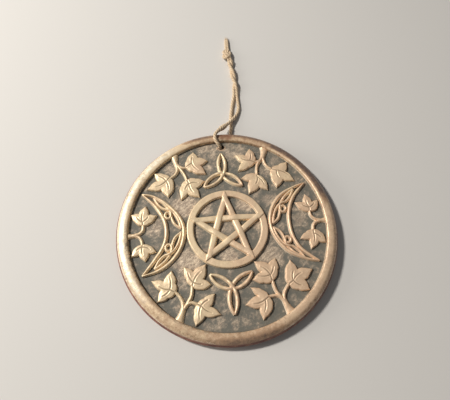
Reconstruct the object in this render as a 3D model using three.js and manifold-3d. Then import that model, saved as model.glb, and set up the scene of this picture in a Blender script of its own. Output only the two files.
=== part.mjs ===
// Triple moon wall plaque: a round relief plaque with its hanging twine, lying on its back.
// Millimetres, +Z out of the front face, +Y towards the hanging hole, +X to the right.
// The origin is the middle of the flat back, on the surface that the plaque lies on.
import * as THREE from 'three';
import { mergeVertices } from 'three/addons/utils/BufferGeometryUtils.js';
import Module from 'manifold-3d';

const wasm = await Module();
wasm.setup();

// Plaque body
const plaqueDiameter = 200;
const fieldHeight = 9;
const widestHeight = 5.6;
const edgeSetback = 1.6;
const backFlatRadius = 68;
const backBevelRise = 4.8;
const edgeRounding = 1.4;

// Rim bead
const rimWidth = 9.5;
const rimRise = 4;

// Hanging hole, just inside the rim
const holeInset = 4.9;
const holeX = 0.6;
const holeDiameter = 5.4;
const frontLip = 0.6;
const backFlare = 1.7;
const backFlareDepth = 2.2;

// Ring and five-pointed star
const ringDiameter = 73;
const ringWidth = 6.3;
const ringRise = 3;
const ringBevel = 0.7;
const starBarOffset = 9.4;
const starBarWidth = 5.8;
const starBarRise = 3.2;
const starTipLift = 0.8;
const starTipRamp = 6;
const starTipRadius = 37.2;
const starWeave = 0.6;

// Crescents and their knots
const moonGap = 0.5;
const moonCordWidth = 4;
const moonTipWidth = 1.7;
const moonCordRise = 2.7;
const knotCordWidth = 2.2;
const knotCordRise = 2.4;
const knotWeave = 0.45;

// Three-cornered knots
const triquetraReach = 22;
const triquetraCordWidth = 3.1;
const triquetraTipWidth = 2;
const triquetraCordRise = 2.7;
const triquetraWeave = 0.5;
const triquetraOverrun = 0.9;

// Ivy
const leafEdgeRise = 1.7;
const leafRise = 3;
const veinDepth = 0.45;
const stemRise = 2.5;

// Twine
const twineDiameter = 2.4;
const strandSpacing = 2.8;
const twineGap = 0.3;

// Play between pieces that don't touch, and overlap of the cuts
const seatGap = 0.3;
const cutMargin = 1;

// Fineness of the curves
const roundSegments = 72;
const ringSegments = 60;
const drillSegments = 24;
const twineSides = 8;
const twineStep = 3.4;
const tailStep = 5.4;

// Sizes worked out from the values above
const plaqueRadius = plaqueDiameter / 2;
const rimInnerRadius = plaqueRadius - edgeSetback - rimWidth;
const holeY = rimInnerRadius - holeInset;
const holeRadius = holeDiameter / 2;
const ringOuterRadius = ringDiameter / 2;
const ringInnerRadius = ringOuterRadius - ringWidth;
const starTipRise = ringRise + starTipLift;
const moonBackRadius = ringOuterRadius + moonGap + moonCordWidth / 2;
const twineRadius = twineDiameter / 2;

// Finishes
const bronze = { color: 0xc8a57d, roughness: 0.45, metalness: 0.55 };
const shadowedBronze = { color: 0x6e685b, roughness: 0.6, metalness: 0.3 };
const jute = { color: 0xcbb28a, roughness: 0.95, metalness: 0 };

function finish(values) {
  return new THREE.MeshStandardMaterial(values);
}

// Closed geometry to solid: one vertex for each place, and no triangle without area.
function toSolid(geometry) {
  const bare = geometry.clone();
  bare.deleteAttribute('normal');
  bare.deleteAttribute('uv');
  const merged = mergeVertices(bare, 1e-4);
  const index = merged.index.array;
  const faces = [];
  for (let i = 0; i < index.length; i += 3) {
    const [a, b, c] = [index[i], index[i + 1], index[i + 2]];
    if (a !== b && b !== c && c !== a) {
      faces.push(a, b, c);
    }
  }
  const vertProperties = new Float32Array(merged.attributes.position.array);
  const triVerts = new Uint32Array(faces);
  return new wasm.Manifold(new wasm.Mesh({ numProp: 3, vertProperties, triVerts }));
}

function toGeometry(solid) {
  const mesh = solid.asOriginal().getMesh();
  const geometry = new THREE.BufferGeometry();
  geometry.setAttribute('position', new THREE.BufferAttribute(new Float32Array(mesh.vertProperties), 3));
  geometry.setIndex(new THREE.BufferAttribute(new Uint32Array(mesh.triVerts), 1));
  geometry.computeVertexNormals();
  return geometry;
}

function joined(solids) {
  return solids.reduce((sum, solid) => sum.add(solid));
}

// Profile of radius and height, turned about the vertical axis.
function revolved(profile, segments = roundSegments) {
  const points = profile.map(([radius, height]) => new THREE.Vector2(radius, height));
  const geometry = new THREE.LatheGeometry(points, segments);
  geometry.rotateX(Math.PI / 2);
  return geometry;
}

// Faces of a stack of equal rings of points, closed by a flat face at each end.
function loftFaces(rings, ringSize) {
  const faces = [];
  for (let i = 0; i < rings - 1; i += 1) {
    for (let j = 0; j < ringSize; j += 1) {
      const a = i * ringSize + j;
      const b = i * ringSize + ((j + 1) % ringSize);
      faces.push(a, b + ringSize, b, a, a + ringSize, b + ringSize);
    }
  }
  const end = (rings - 1) * ringSize;
  for (let j = 1; j < ringSize - 1; j += 1) {
    faces.push(0, j, j + 1);
    faces.push(end, end + j + 1, end + j);
  }
  return faces;
}

function indexed(points, faces) {
  const geometry = new THREE.BufferGeometry();
  geometry.setAttribute('position', new THREE.Float32BufferAttribute(points, 3));
  geometry.setIndex(faces);
  return geometry;
}

// Sections of a raised band: share of the half width, share of the height.
const roundedSection = [[-1, 0], [-0.9, 0.62], [-0.45, 1], [0.45, 1], [0.9, 0.62], [1, 0]];
const thinSection = [[-1, 0], [-0.6, 1], [0.6, 1], [1, 0]];
const flatSection = [[-1, 0], [-0.95, 0.72], [-0.74, 1], [0.74, 1], [0.95, 0.72], [1, 0]];

// Distance between the sections along each kind of band
const starStep = 4.8;
const moonStep = 4.6;
const knotStep = 3;
const triquetraStep = 3.4;
const stemStep = 3.6;

// A raised band on the field: a section carried along a flat route of points.
// width and rise are functions of the share of the route that has been passed.
function band(route, width, rise, section, step) {
  const count = Math.max(4, Math.ceil(route.getLength() / step));
  const positions = [];
  for (let i = 0; i <= count; i += 1) {
    const share = i / count;
    const place = route.getPointAt(share);
    const along = route.getTangentAt(share);
    const half = width(share) / 2;
    const height = rise(share);
    for (const [across, up] of section) {
      positions.push(place.x - along.y * half * across, place.y + along.x * half * across, height * up);
    }
  }
  return toSolid(indexed(positions, loftFaces(count + 1, section.length)));
}

// The crescents, three-cornered knots and sprigs below are drawn for a crescent's back and a rim's
// inner edge at these distances from the middle.
const drawnFor = { backRadius: 39, rimRadius: 88.9 };

// A drawn point of the space between the ring and the rim, moved out or in with the two.
function placed([x, y]) {
  const drawn = Math.hypot(x, y);
  const stretch = (rimInnerRadius - moonBackRadius) / (drawnFor.rimRadius - drawnFor.backRadius);
  const scale = (moonBackRadius + (drawn - drawnFor.backRadius) * stretch) / drawn;
  return new THREE.Vector2(x * scale, y * scale);
}

function flatSpline(points) {
  return new THREE.SplineCurve(points.map(placed));
}

// Smooth bump of height 1 at the middle, 0 at one reach to each side.
function bump(distance, reach) {
  const share = Math.min(1, Math.abs(distance) / reach);
  return (1 + Math.cos(Math.PI * share)) / 2;
}

// Height along a woven band: up where it passes over, down where it passes under.
function woven(base, lift, crossings, reach) {
  return (share) => crossings.reduce(
    (height, [place, sign]) => height + sign * lift * bump(share - place, reach), base);
}

// Width that narrows to the tip at both ends.
function tapered(full, tip, reach) {
  return (share) => {
    const inward = Math.min(1, Math.min(share, 1 - share) / reach);
    return tip + (full - tip) * Math.sin(inward * Math.PI / 2);
  };
}

// The disc behind the relief, widest below the rim, with a bevelled back edge and the hanging hole.
function plaqueSlab() {
  const shoulder = plaqueRadius - edgeRounding;
  const side = [
    [shoulder, backBevelRise],
    [plaqueRadius, widestHeight],
    [plaqueRadius - 0.35 * edgeSetback, (widestHeight + fieldHeight) / 2],
    [plaqueRadius - edgeSetback, fieldHeight],
  ];
  const disc = toSolid(revolved([[0, 0], [backFlatRadius, 0], ...side, [0, fieldHeight]]));
  const slope = backBevelRise / (shoulder - backFlatRadius);
  const backMouth = Math.max(0, (holeY - backFlatRadius) * slope);
  const drill = revolved([
    [0, -cutMargin],
    [holeRadius + backFlare, -cutMargin],
    [holeRadius + backFlare, backMouth],
    [holeRadius, backMouth + backFlareDepth],
    [holeRadius, fieldHeight - frontLip],
    [holeRadius + frontLip, fieldHeight],
    [holeRadius + frontLip, fieldHeight + cutMargin],
    [0, fieldHeight + cutMargin],
  ], drillSegments);
  drill.translate(holeX, holeY, 0);
  return toGeometry(disc.subtract(toSolid(drill)));
}

// Section of the rim bead: share of its width from the inner edge, share of its height. The inner
// wall is steep and the outer side falls away in a long curve.
const rimSection = [[0, 0], [1, 0], [0.9, 0.36], [0.72, 0.8], [0.45, 1], [0.2, 0.86], [0.04, 0.45], [0, 0]];

// The raised bead round the edge, seated on the disc.
function rimBead() {
  return toGeometry(toSolid(revolved(
    rimSection.map(([across, up]) => [rimInnerRadius + rimWidth * across, rimRise * up]))));
}

// The flat band of the ring, its top edges and sides a little drawn in.
function pentacleRing() {
  const draft = ringBevel / 7;
  return toGeometry(toSolid(revolved([
    [ringInnerRadius, 0],
    [ringOuterRadius, 0],
    [ringOuterRadius - draft, ringRise - ringBevel],
    [ringOuterRadius - ringBevel, ringRise],
    [ringInnerRadius + ringBevel, ringRise],
    [ringInnerRadius + draft, ringRise - ringBevel],
    [ringInnerRadius, 0],
  ], ringSegments)));
}

// A closed outline from its corner points, each [x, y].
function polygon(corners) {
  const outline = new THREE.Shape();
  outline.moveTo(...corners[0]);
  corners.slice(1).forEach((corner) => outline.lineTo(...corner));
  return outline;
}

function polar(radius, angle) {
  return [radius * Math.cos(angle), radius * Math.sin(angle)];
}

// Five straight bars woven over and under each other, whose points lie across the ring.
function pentagram() {
  const tenth = Math.PI / 5;
  const halfLength = Math.sqrt(starTipRadius ** 2 - starBarOffset ** 2);
  const crossing = starBarOffset * Math.tan(tenth) / (2 * halfLength);
  const crossingReach = 0.1;
  const weave = woven(starBarRise, starWeave, [[0.5 - crossing, 1], [0.5 + crossing, -1]], crossingReach);
  const rise = (share) => {
    const radius = Math.hypot(starBarOffset, (2 * share - 1) * halfLength);
    const climb = THREE.MathUtils.smoothstep(radius,
      ringInnerRadius - starTipRamp, ringInnerRadius - seatGap);
    return THREE.MathUtils.lerp(weave(share), starTipRise, climb);
  };
  const bars = [];
  for (let k = 0; k < 5; k += 1) {
    const turn = 2 * k * tenth;
    const outward = new THREE.Vector2(-Math.sin(turn), Math.cos(turn));
    const along = new THREE.Vector2(outward.y, -outward.x);
    const middle = outward.clone().multiplyScalar(starBarOffset);
    const start = middle.clone().addScaledVector(along, -halfLength);
    const end = middle.clone().addScaledVector(along, halfLength);
    bars.push(band(new THREE.LineCurve(end, start), () => starBarWidth, rise, flatSection, starStep));
  }
  const ceiling = starBarRise + starTipRise;
  const notchRadius = (starBarOffset + starBarWidth / 2) / Math.cos(tenth);
  const corners = [];
  for (let k = 0; k < 10; k += 1) {
    corners.push(polar(k % 2 ? notchRadius : starTipRadius, Math.PI / 2 + k * tenth));
  }
  const envelope = new THREE.ExtrudeGeometry(polygon(corners), { depth: ceiling, bevelEnabled: false });
  const reach = ringOuterRadius - ringBevel / 7;
  const insideRing = revolved([[0, -cutMargin], [reach, -cutMargin], [reach, ceiling], [0, ceiling]],
    ringSegments);
  const ringSpace = revolved([
    [ringInnerRadius - seatGap, -cutMargin],
    [ringOuterRadius + cutMargin, -cutMargin],
    [ringOuterRadius + cutMargin, ringRise],
    [ringInnerRadius - seatGap, ringRise],
    [ringInnerRadius - seatGap, -cutMargin],
  ], ringSegments);
  const star = joined(bars).intersect(toSolid(envelope)).intersect(toSolid(insideRing));
  return toGeometry(star.subtract(toSolid(ringSpace)));
}

// Crescents: the outer and the inner cord from tip to tip, and for each knot its pointed ends at
// the middle and towards the horn, and the side to which its eye lies.
const moons = {
  moon_left: {
    outer: [[-76, 38.1], [-65.4, 35.2], [-50.8, 24], [-41.8, 12], [-39, 0.5], [-42, -14.3],
      [-50.8, -26.6], [-62.6, -34.2], [-75.8, -37.8]],
    inner: [[-76, 38.1], [-63.9, 25.2], [-55.9, 10.5], [-54.5, -1], [-57, -12.1], [-65.4, -25],
      [-75.8, -37.8]],
    knots: [
      { middleTip: [-41.2, 2.8], hornTip: [-65.2, 33.6], side: 1 },
      { middleTip: [-41.2, -0.9], hornTip: [-65.2, -32.6], side: -1 },
    ],
  },
  moon_right: {
    outer: [[75.3, 39.2], [66.2, 36.3], [51.1, 28.1], [41.5, 14.5], [39, 1], [43, -13],
      [52.5, -25.1], [67.3, -32.8], [77.5, -35.4]],
    inner: [[75.3, 39.2], [62.9, 25.7], [57.1, 11.4], [56.2, 0], [57.4, -10.5], [63.2, -23.2],
      [77.5, -35.4]],
    knots: [
      { middleTip: [41.2, 1.3], hornTip: [63.8, 33.4], side: -1 },
      { middleTip: [41.2, -2.1], hornTip: [65.2, -31.6], side: 1 },
    ],
  },
};

// The cords of the knot in the left crescent's upper half, which the other three follow, turned,
// mirrored and stretched between their own two pointed ends. A crossing is its share of the cord
// and 1 for over or -1 for under.
const knotPattern = {
  middleTip: [-42, 2.8],
  hornTip: [-65, 33],
  cords: [
    { points: [[-42, 2.8], [-42.9, 8.5], [-44.9, 14.2], [-48.3, 19], [-52, 21.3], [-56.4, 22.2],
      [-61, 26], [-65, 33]], crossings: [[0.52, 1]] },
    { points: [[-65, 33], [-60.8, 30.4], [-56, 26.6], [-52.7, 22.2], [-50.8, 18.4], [-50.5, 15],
      [-51.8, 12.9], [-53.9, 12.9], [-55.4, 14.6]], crossings: [[0.5, -1], [0.72, 1]] },
    { points: [[-55.5, 13.9], [-55.5, 16.6], [-53.8, 18.4], [-51.6, 17.6], [-50.3, 14.8], [-49.5, 11.4],
      [-47, 6.6], [-42, 2.8]], crossings: [[0.36, -1]] },
  ],
};

function knotMap({ middleTip, hornTip, side }) {
  const origin = new THREE.Vector2(...knotPattern.middleTip);
  const span = new THREE.Vector2(...knotPattern.hornTip).sub(origin);
  const place = new THREE.Vector2(...middleTip);
  const reach = new THREE.Vector2(...hornTip).sub(place);
  const scale = reach.length() / span.length();
  const along = span.clone().normalize();
  const newAlong = reach.clone().normalize();
  return (point) => {
    const offset = new THREE.Vector2(...point).sub(origin).multiplyScalar(scale);
    const forward = offset.dot(along);
    const sideways = side * offset.cross(along);
    return [
      place.x + newAlong.x * forward + newAlong.y * sideways,
      place.y + newAlong.y * forward - newAlong.x * sideways,
    ];
  };
}

function crescent({ outer, inner, knots }) {
  const hornReach = 0.3;
  const crossingReach = 0.14;
  const width = tapered(moonCordWidth, moonTipWidth, hornReach);
  const cords = [outer, inner].map(
    (points) => band(flatSpline(points), width, () => moonCordRise, roundedSection, moonStep));
  for (const knot of knots) {
    const place = knotMap(knot);
    for (const { points, crossings } of knotPattern.cords) {
      const rise = woven(knotCordRise, knotWeave, crossings, crossingReach);
      cords.push(band(flatSpline(points.map(place)), () => knotCordWidth, rise, thinSection, knotStep));
    }
  }
  return toGeometry(joined(cords));
}

// A three-cornered knot of three arcs. Each arc joins two corners and passes just beyond the
// middle. over says for each arc whether it lies above (1) or below (-1) at its first and second
// crossing.
const triquetras = {
  triquetra_top: {
    middle: [-0.3, 54],
    corners: [90, 215, 323],
    over: [[1, 1], [1, -1], [-1, -1]],
  },
  triquetra_bottom: {
    middle: [0, -53],
    corners: [270, 35, 146],
    over: [[-1, -1], [-1, 1], [1, 1]],
  },
};

function triquetra({ middle, corners, over }) {
  const tipReach = 0.25;
  const crossingPlaces = [0.42, 0.58];
  const crossingReach = 0.1;
  const centre = placed(middle);
  const tips = corners.map((degrees) => {
    const [x, y] = polar(triquetraReach, THREE.MathUtils.degToRad(degrees));
    return placed([middle[0] + x, middle[1] + y]);
  });
  const cords = tips.map((from, k) => {
    const to = tips[(k + 1) % tips.length];
    const chordMiddle = from.clone().add(to).multiplyScalar(0.5);
    const inward = centre.clone().sub(chordMiddle);
    const sagitta = inward.length() + triquetraOverrun;
    const halfChord = from.distanceTo(to) / 2;
    const radius = (halfChord ** 2 + sagitta ** 2) / (2 * sagitta);
    const hub = chordMiddle.clone().addScaledVector(inward.normalize(), sagitta - radius);
    const start = Math.atan2(from.y - hub.y, from.x - hub.x);
    const end = Math.atan2(to.y - hub.y, to.x - hub.x);
    const clockwise = (from.x - hub.x) * (to.y - hub.y) - (from.y - hub.y) * (to.x - hub.x) < 0;
    const arc = new THREE.EllipseCurve(hub.x, hub.y, radius, radius, start, end, clockwise);
    const crossings = crossingPlaces.map((place, i) => [place, over[k][i]]);
    return band(arc, tapered(triquetraCordWidth, triquetraTipWidth, tipReach),
      woven(triquetraCordRise, triquetraWeave, crossings, crossingReach), roundedSection, triquetraStep);
  });
  return toGeometry(joined(cords));
}

// Ivy sprigs. A leaf has the place where its stem ends and then, anticlockwise, a shoulder, three
// tips with two notches between them, and the other shoulder. A stem has a route and the widths
// along it.
const ivySprigs = {
  ivy_upper_left: {
    leaves: [
      { base: [-49.5, 54], shoulders: [[-55.5, 57.6], [-46.6, 44.5]],
        tips: [[-64.3, 58.3], [-71.3, 42.7], [-52, 34]], notches: [[-62.3, 51], [-58.5, 41.2]] },
      { base: [-35, 63], shoulders: [[-28.5, 57.8], [-34, 70.5]],
        tips: [[-16, 55.3], [-14, 69.2], [-27, 79]], notches: [[-20.3, 64.3], [-22.7, 73.3]] },
      { base: [-34.2, 50.6], shoulders: [[-40, 44.5], [-25.5, 51]],
        tips: [[-40, 30.3], [-23.2, 32], [-18.2, 47.5]], notches: [[-34, 35.6], [-25.3, 40.7]] },
    ],
    stems: [
      { route: [[-45.9, 77.4], [-44.6, 70.5], [-43, 65]], widths: [8, 4.2, 4] },
      { route: [[-43.6, 66.5], [-42.9, 60.8], [-45.5, 56], [-50, 52.9]], widths: [3, 2.6] },
      { route: [[-42.2, 65.5], [-38.8, 60.2], [-36, 55], [-34.2, 49.6]], widths: [2.8, 2.3] },
      { route: [[-43, 66.8], [-39, 63.6], [-33.6, 62.8]], widths: [3, 2.6] },
    ],
  },
  ivy_upper_right: {
    leaves: [
      { base: [32, 64.2], shoulders: [[32.3, 71.5], [25, 59]],
        tips: [[27.7, 79], [13.3, 72.8], [14.8, 56]], notches: [[23.3, 72.3], [18.7, 64.7]] },
      { base: [32, 51.3], shoulders: [[25, 52.7], [39.3, 45]],
        tips: [[17.3, 47.8], [23, 32], [40.5, 34.8]], notches: [[24, 44.4], [32.8, 37.8]] },
      { base: [46.2, 56.2], shoulders: [[45.4, 48.5], [53.5, 59.6]],
        tips: [[49.4, 36.7], [66.7, 42.7], [61.9, 62.1]], notches: [[56.3, 43.6], [60.3, 52.3]] },
    ],
    stems: [
      { route: [[42.4, 79], [40.8, 73], [39, 67.5]], widths: [9, 4.6, 4] },
      { route: [[39.8, 70], [36.5, 65.8], [31, 64.4]], widths: [3.2, 2.6] },
      { route: [[38.6, 68], [34.2, 62.5], [32.6, 57], [32.1, 50.3]], widths: [3, 2.4] },
      { route: [[39.6, 69], [41, 62.5], [43.6, 58.3], [47, 55.7]], widths: [3, 2.6] },
    ],
  },
  ivy_left: {
    leaves: [
      { base: [-75, 7.2], shoulders: [[-69.5, 8.8], [-82, 10.6]],
        tips: [[-63.2, 16], [-72.6, 25.8], [-85.5, 18]], notches: [[-70.2, 17.9], [-79, 19.6]] },
      { base: [-75.6, -9.8], shoulders: [[-82, -12.2], [-69.5, -10.8]],
        tips: [[-84.9, -20.4], [-73.4, -24.8], [-64, -17.3]], notches: [[-78.8, -19.3], [-69.9, -18.6]] },
    ],
    stems: [
      { route: [[-90, -1.4], [-84, -1.2], [-80.6, -0.6]], widths: [5, 3.4, 3.2] },
      { route: [[-83, -1], [-77.6, 0.8], [-75.3, 3.8], [-74.9, 8]], widths: [3.2, 3] },
      { route: [[-83, -1.3], [-78.6, -3], [-76.6, -6], [-75.6, -10.6]], widths: [2.8, 2.3] },
    ],
  },
  ivy_right: {
    leaves: [
      { base: [76.3, 10.4], shoulders: [[82.6, 11.8], [69, 12.3]],
        tips: [[85, 21], [74.5, 27.2], [64.2, 20]], notches: [[80, 19.8], [71.5, 19.8]] },
      { base: [76.6, -6.6], shoulders: [[69.5, -9], [83.5, -10]],
        tips: [[64.3, -14.9], [72.3, -24.2], [85.8, -19.3]], notches: [[72.1, -15.8], [80, -18.6]] },
    ],
    stems: [
      { route: [[90, 1.4], [84.5, 1.4], [82, 1.5]], widths: [4.6, 3, 2.8] },
      { route: [[84.5, 1.6], [79.3, 3.6], [76.6, 7], [76.2, 11.2]], widths: [2.8, 2.4] },
      { route: [[84.5, 1.2], [79.3, -0.6], [77.3, -3.4], [76.6, -7.4]], widths: [2.8, 2.6] },
    ],
  },
  ivy_lower_left: {
    leaves: [
      { base: [-47.5, -53.6], shoulders: [[-47.5, -45.5], [-54.5, -58]],
        tips: [[-50.7, -35], [-67.8, -42.5], [-62.8, -60.3]], notches: [[-57.8, -43], [-60.7, -51]] },
      { base: [-33.8, -49.8], shoulders: [[-26.5, -52.8], [-38.7, -43]],
        tips: [[-17.9, -49], [-21.2, -31.6], [-40, -32.6]], notches: [[-23.8, -44], [-32.3, -36.6]] },
      { base: [-30.3, -64.2], shoulders: [[-33.3, -72], [-24.5, -59.8]],
        tips: [[-32, -81.2], [-11.3, -74], [-15.3, -57]], notches: [[-24.3, -74.8], [-19, -67]] },
    ],
    stems: [
      { route: [[-46.1, -77], [-43.4, -71], [-41.6, -66]], widths: [8, 4.4, 4] },
      { route: [[-42, -67.5], [-42.4, -61.5], [-44.8, -56.6], [-48.4, -52.8]], widths: [3, 2.5] },
      { route: [[-41.6, -67.5], [-37.6, -62], [-34.8, -57], [-33.6, -49]], widths: [3, 2.4] },
      { route: [[-41.8, -67.5], [-38, -63.3], [-34.4, -62.7], [-29.3, -64.5]], widths: [3, 2.4] },
    ],
  },
  ivy_lower_right: {
    leaves: [
      { base: [34.5, -50.3], shoulders: [[40.2, -41], [27, -51.3]],
        tips: [[39.1, -30.7], [20.9, -32.2], [18, -47.7]], notches: [[32.6, -34.8], [25, -41.6]] },
      { base: [30.3, -62.5], shoulders: [[25.5, -56.8], [32.5, -70]],
        tips: [[15.6, -54.3], [9.9, -68], [23.5, -80.6]], notches: [[20, -61.2], [21, -71.6]] },
      { base: [47.5, -54], shoulders: [[55.5, -59], [46, -44.5]],
        tips: [[64.7, -59.2], [69.8, -42.3], [52, -33.3]], notches: [[62.3, -51], [57.2, -41.3]] },
    ],
    stems: [
      { route: [[47, -76.6], [44, -70.5], [42.2, -65.5]], widths: [8.5, 4.6, 4] },
      { route: [[42.4, -67], [38.6, -61.6], [36.1, -57], [34.4, -49.4]], widths: [3, 2.5] },
      { route: [[42.8, -67.5], [39, -63.2], [35, -62.1], [29.5, -62.8]], widths: [3, 2.4] },
      { route: [[42.6, -67.5], [42.8, -62], [45, -57.4], [48.2, -53.4]], widths: [3, 2.5] },
    ],
  },
};

// One edge of a leaf, bowed outward by a share of its length, as a curve between two corners.
function bowedEdge(from, to, bow) {
  const along = to.clone().sub(from);
  const control = from.clone().add(to).multiplyScalar(0.5);
  control.add(new THREE.Vector2(along.y * bow, -along.x * bow));
  return new THREE.QuadraticBezierCurve(from, control, to);
}

// A domed leaf. Its veins meet a quarter of the way from the stem to the middle tip, and the
// surface rises from the edge to a crest and dips along the veins.
function leaf({ base, shoulders, tips, notches }) {
  const drawn = [base, shoulders[0], tips[0], notches[0], tips[1], notches[1], tips[2], shoulders[1]];
  const veined = [true, false, true, false, true, false, true, false];
  const bow = [0.16, 0.22, 0.12, 0.16, 0.16, 0.12, 0.22, 0.16];
  const edgePieces = [3, 3, 2, 2, 2, 2, 3, 3];
  const heartShare = 0.25;
  const crestShare = 0.6;
  const shoulderShare = 0.97;
  const corners = drawn.map(placed);
  const heart = corners[0].clone().lerp(corners[4], heartShare);
  const outline = [];
  corners.forEach((corner, k) => {
    const edge = bowedEdge(corner, corners[(k + 1) % corners.length], bow[k]);
    for (let i = 0; i < edgePieces[k]; i += 1) {
      outline.push({ place: edge.getPoint(i / edgePieces[k]), vein: i === 0 && veined[k] });
    }
  });
  const count = outline.length;
  const positions = [];
  const ring = (share, height, dip) => {
    for (const { place, vein } of outline) {
      const point = heart.clone().lerp(place, share);
      positions.push(point.x, point.y, vein ? height - dip : height);
    }
  };
  ring(1, 0, 0);
  ring(shoulderShare, leafEdgeRise, veinDepth / 2);
  ring(crestShare, leafRise, veinDepth);
  const faces = [];
  for (let i = 0; i < 2; i += 1) {
    for (let j = 0; j < count; j += 1) {
      const a = i * count + j;
      const b = i * count + ((j + 1) % count);
      faces.push(a, b, b + count, a, b + count, a + count);
    }
  }
  const top = positions.length / 3;
  positions.push(heart.x, heart.y, leafRise - veinDepth);
  positions.push(heart.x, heart.y, 0);
  for (let j = 0; j < count; j += 1) {
    const next = (j + 1) % count;
    faces.push(2 * count + j, 2 * count + next, top);
    faces.push(next, j, top + 1);
  }
  return toSolid(indexed(positions, faces));
}

// Leaves and stems in one piece. The stem's root ends at the rim's inner wall.
function ivySprig({ leaves, stems }) {
  const solids = leaves.map(leaf);
  for (const { route, widths } of stems) {
    const width = (share) => {
      const place = share * (widths.length - 1);
      const from = Math.min(widths.length - 2, Math.floor(place));
      return THREE.MathUtils.lerp(widths[from], widths[from + 1], place - from);
    };
    solids.push(band(flatSpline(route), width, () => stemRise, roundedSection, stemStep));
  }
  const reach = rimInnerRadius - seatGap;
  const ceiling = leafRise + cutMargin;
  const insideRim = toSolid(revolved([[0, -cutMargin], [reach, -cutMargin], [reach, ceiling], [0, ceiling]]));
  return toGeometry(joined(solids).intersect(insideRim));
}

// Twine. Both strands leave the hole, one over the rim and one behind the plaque, cross on the
// surface and twist round each other up to the knot.
const frontStrandPoints = [
  [-0.5, 84, 7.5], [-0.5, 84, 8.8], [-0.7, 84.15, 10.7], [-1.45, 84.72, 12.55], [-2.8, 85.9, 14.1],
  [-4.2, 87.9, 14.95], [-4.95, 90.5, 15.05], [-4.95, 93.4, 14.9], [-4.1, 96.3, 14.5],
  [-2.3, 99.3, 13.5], [0.7, 103, 11.4], [4.4, 107.3, 8.6], [8.7, 112, 6], [13.4, 117.2, 3.95],
  [16.5, 121, 3], [19.6, 125.4, 2], [21.7, 129.8, 1.35], [22.6, 134.3, 1.25], [22.8, 139, 1.25],
  [22.5, 145, 1.25], [22.4, 151, 1.45],
];
const backStrandPoints = [
  [-0.5, 84, 7.2], [-0.45, 84.03, 5.9], [-0.2, 84.35, 4.4], [0.35, 85.2, 2.9], [1.3, 86.6, 1.8],
  [2.9, 88.9, 1.3], [5.6, 92.9, 1.25], [8.7, 97.4, 1.25], [11.4, 102.8, 1.25], [12.8, 109.5, 1.25],
  [13.3, 117.7, 1.25], [14.1, 126.3, 1.25], [15.7, 135, 1.25], [17.4, 142.8, 1.25], [19.2, 150.4, 1.45],
];

// The middle of the twisted pair, from where the strands come together to the knot.
const pairPoints = [[21.1, 157.3, 2.4], [21.3, 163.5, 2.65], [20.9, 170.3, 2.65], [20.3, 177.1, 2.65],
  [19.4, 184.8, 2.65], [19, 191.1, 2.65], [18.7, 197.4, 2.9]];
const twistTurns = 1.1;
const twistPoints = 14;
const surfaceGap = 0.05;

// The knot's middle, its width, its length without the gaps at its ends, and its height.
const knotMiddle = [17.2, 205.4, 3.05];
const knotSize = [9, 15.4, 6];
const tailRoute = [[16.6, 213.4, 1.9], [17, 220.9, 1.4], [17.3, 229.2, 1.25]];
const tailSpread = 0.15;

function spatial(points) {
  return new THREE.CatmullRomCurve3(points.map((point) => new THREE.Vector3(...point)));
}

// One strand of the twisted pair: a turn about the middle line, side by 1 or -1.
function twistedPoints(side) {
  const middle = spatial(pairPoints);
  const points = [];
  for (let i = 0; i <= twistPoints; i += 1) {
    const share = i / twistPoints;
    const place = middle.getPointAt(share);
    const [across, up] = polar(side * strandSpacing / 2, share * twistTurns * 2 * Math.PI);
    points.push([place.x + across, place.y, Math.max(place.z + up, twineRadius + surfaceGap)]);
  }
  return points;
}

function twineTube(points, step) {
  const route = spatial(points);
  const corners = [];
  for (let k = 0; k < twineSides; k += 1) {
    corners.push(polar(twineRadius, (k + 0.5) * 2 * Math.PI / twineSides));
  }
  const steps = Math.ceil(route.getLength() / step);
  const geometry = new THREE.ExtrudeGeometry(polygon(corners), { steps, extrudePath: route });
  return toGeometry(toSolid(geometry));
}

// Outline of the knot: share of half its length, share of half its width.
const knotSection = [[-1, 0], [-1, 0.84], [-0.6, 1], [0.6, 1], [1, 0.84], [1, 0]];
const knotSides = 12;

// The knot: a plain lump of the outer size of the tied twine, with a flat end towards the strands
// and one towards the cut ends.
function knotLump() {
  const [width, length, height] = knotSize;
  const halfLength = length / 2 - twineGap;
  const profile = knotSection.map(([along, out]) => new THREE.Vector2(out, along * halfLength));
  const lump = new THREE.LatheGeometry(profile, knotSides);
  lump.scale(width / 2, 1, height / 2);
  lump.translate(...knotMiddle);
  return toGeometry(toSolid(lump));
}

// A cut end of the twine beyond the knot, beside the other by one spacing.
function tailPoints(side) {
  return tailRoute.map(([x, y, z], k) => [x + side * (strandSpacing / 2 + tailSpread * k), y, z]);
}

function piece(name, geometry, material) {
  const mesh = new THREE.Mesh(geometry, finish(material));
  mesh.name = name;
  return mesh;
}

const plaque = new THREE.Group();
plaque.add(piece('plaque_slab', plaqueSlab(), shadowedBronze));
const relief = new THREE.Group();
relief.position.z = fieldHeight;
relief.add(piece('rim_bead', rimBead(), bronze));
relief.add(piece('pentacle_ring', pentacleRing(), bronze));
relief.add(piece('pentagram', pentagram(), bronze));
for (const [name, values] of Object.entries(moons)) {
  relief.add(piece(name, crescent(values), bronze));
}
for (const [name, values] of Object.entries(triquetras)) {
  relief.add(piece(name, triquetra(values), bronze));
}
for (const [name, values] of Object.entries(ivySprigs)) {
  relief.add(piece(name, ivySprig(values), bronze));
}
plaque.add(relief);

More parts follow.
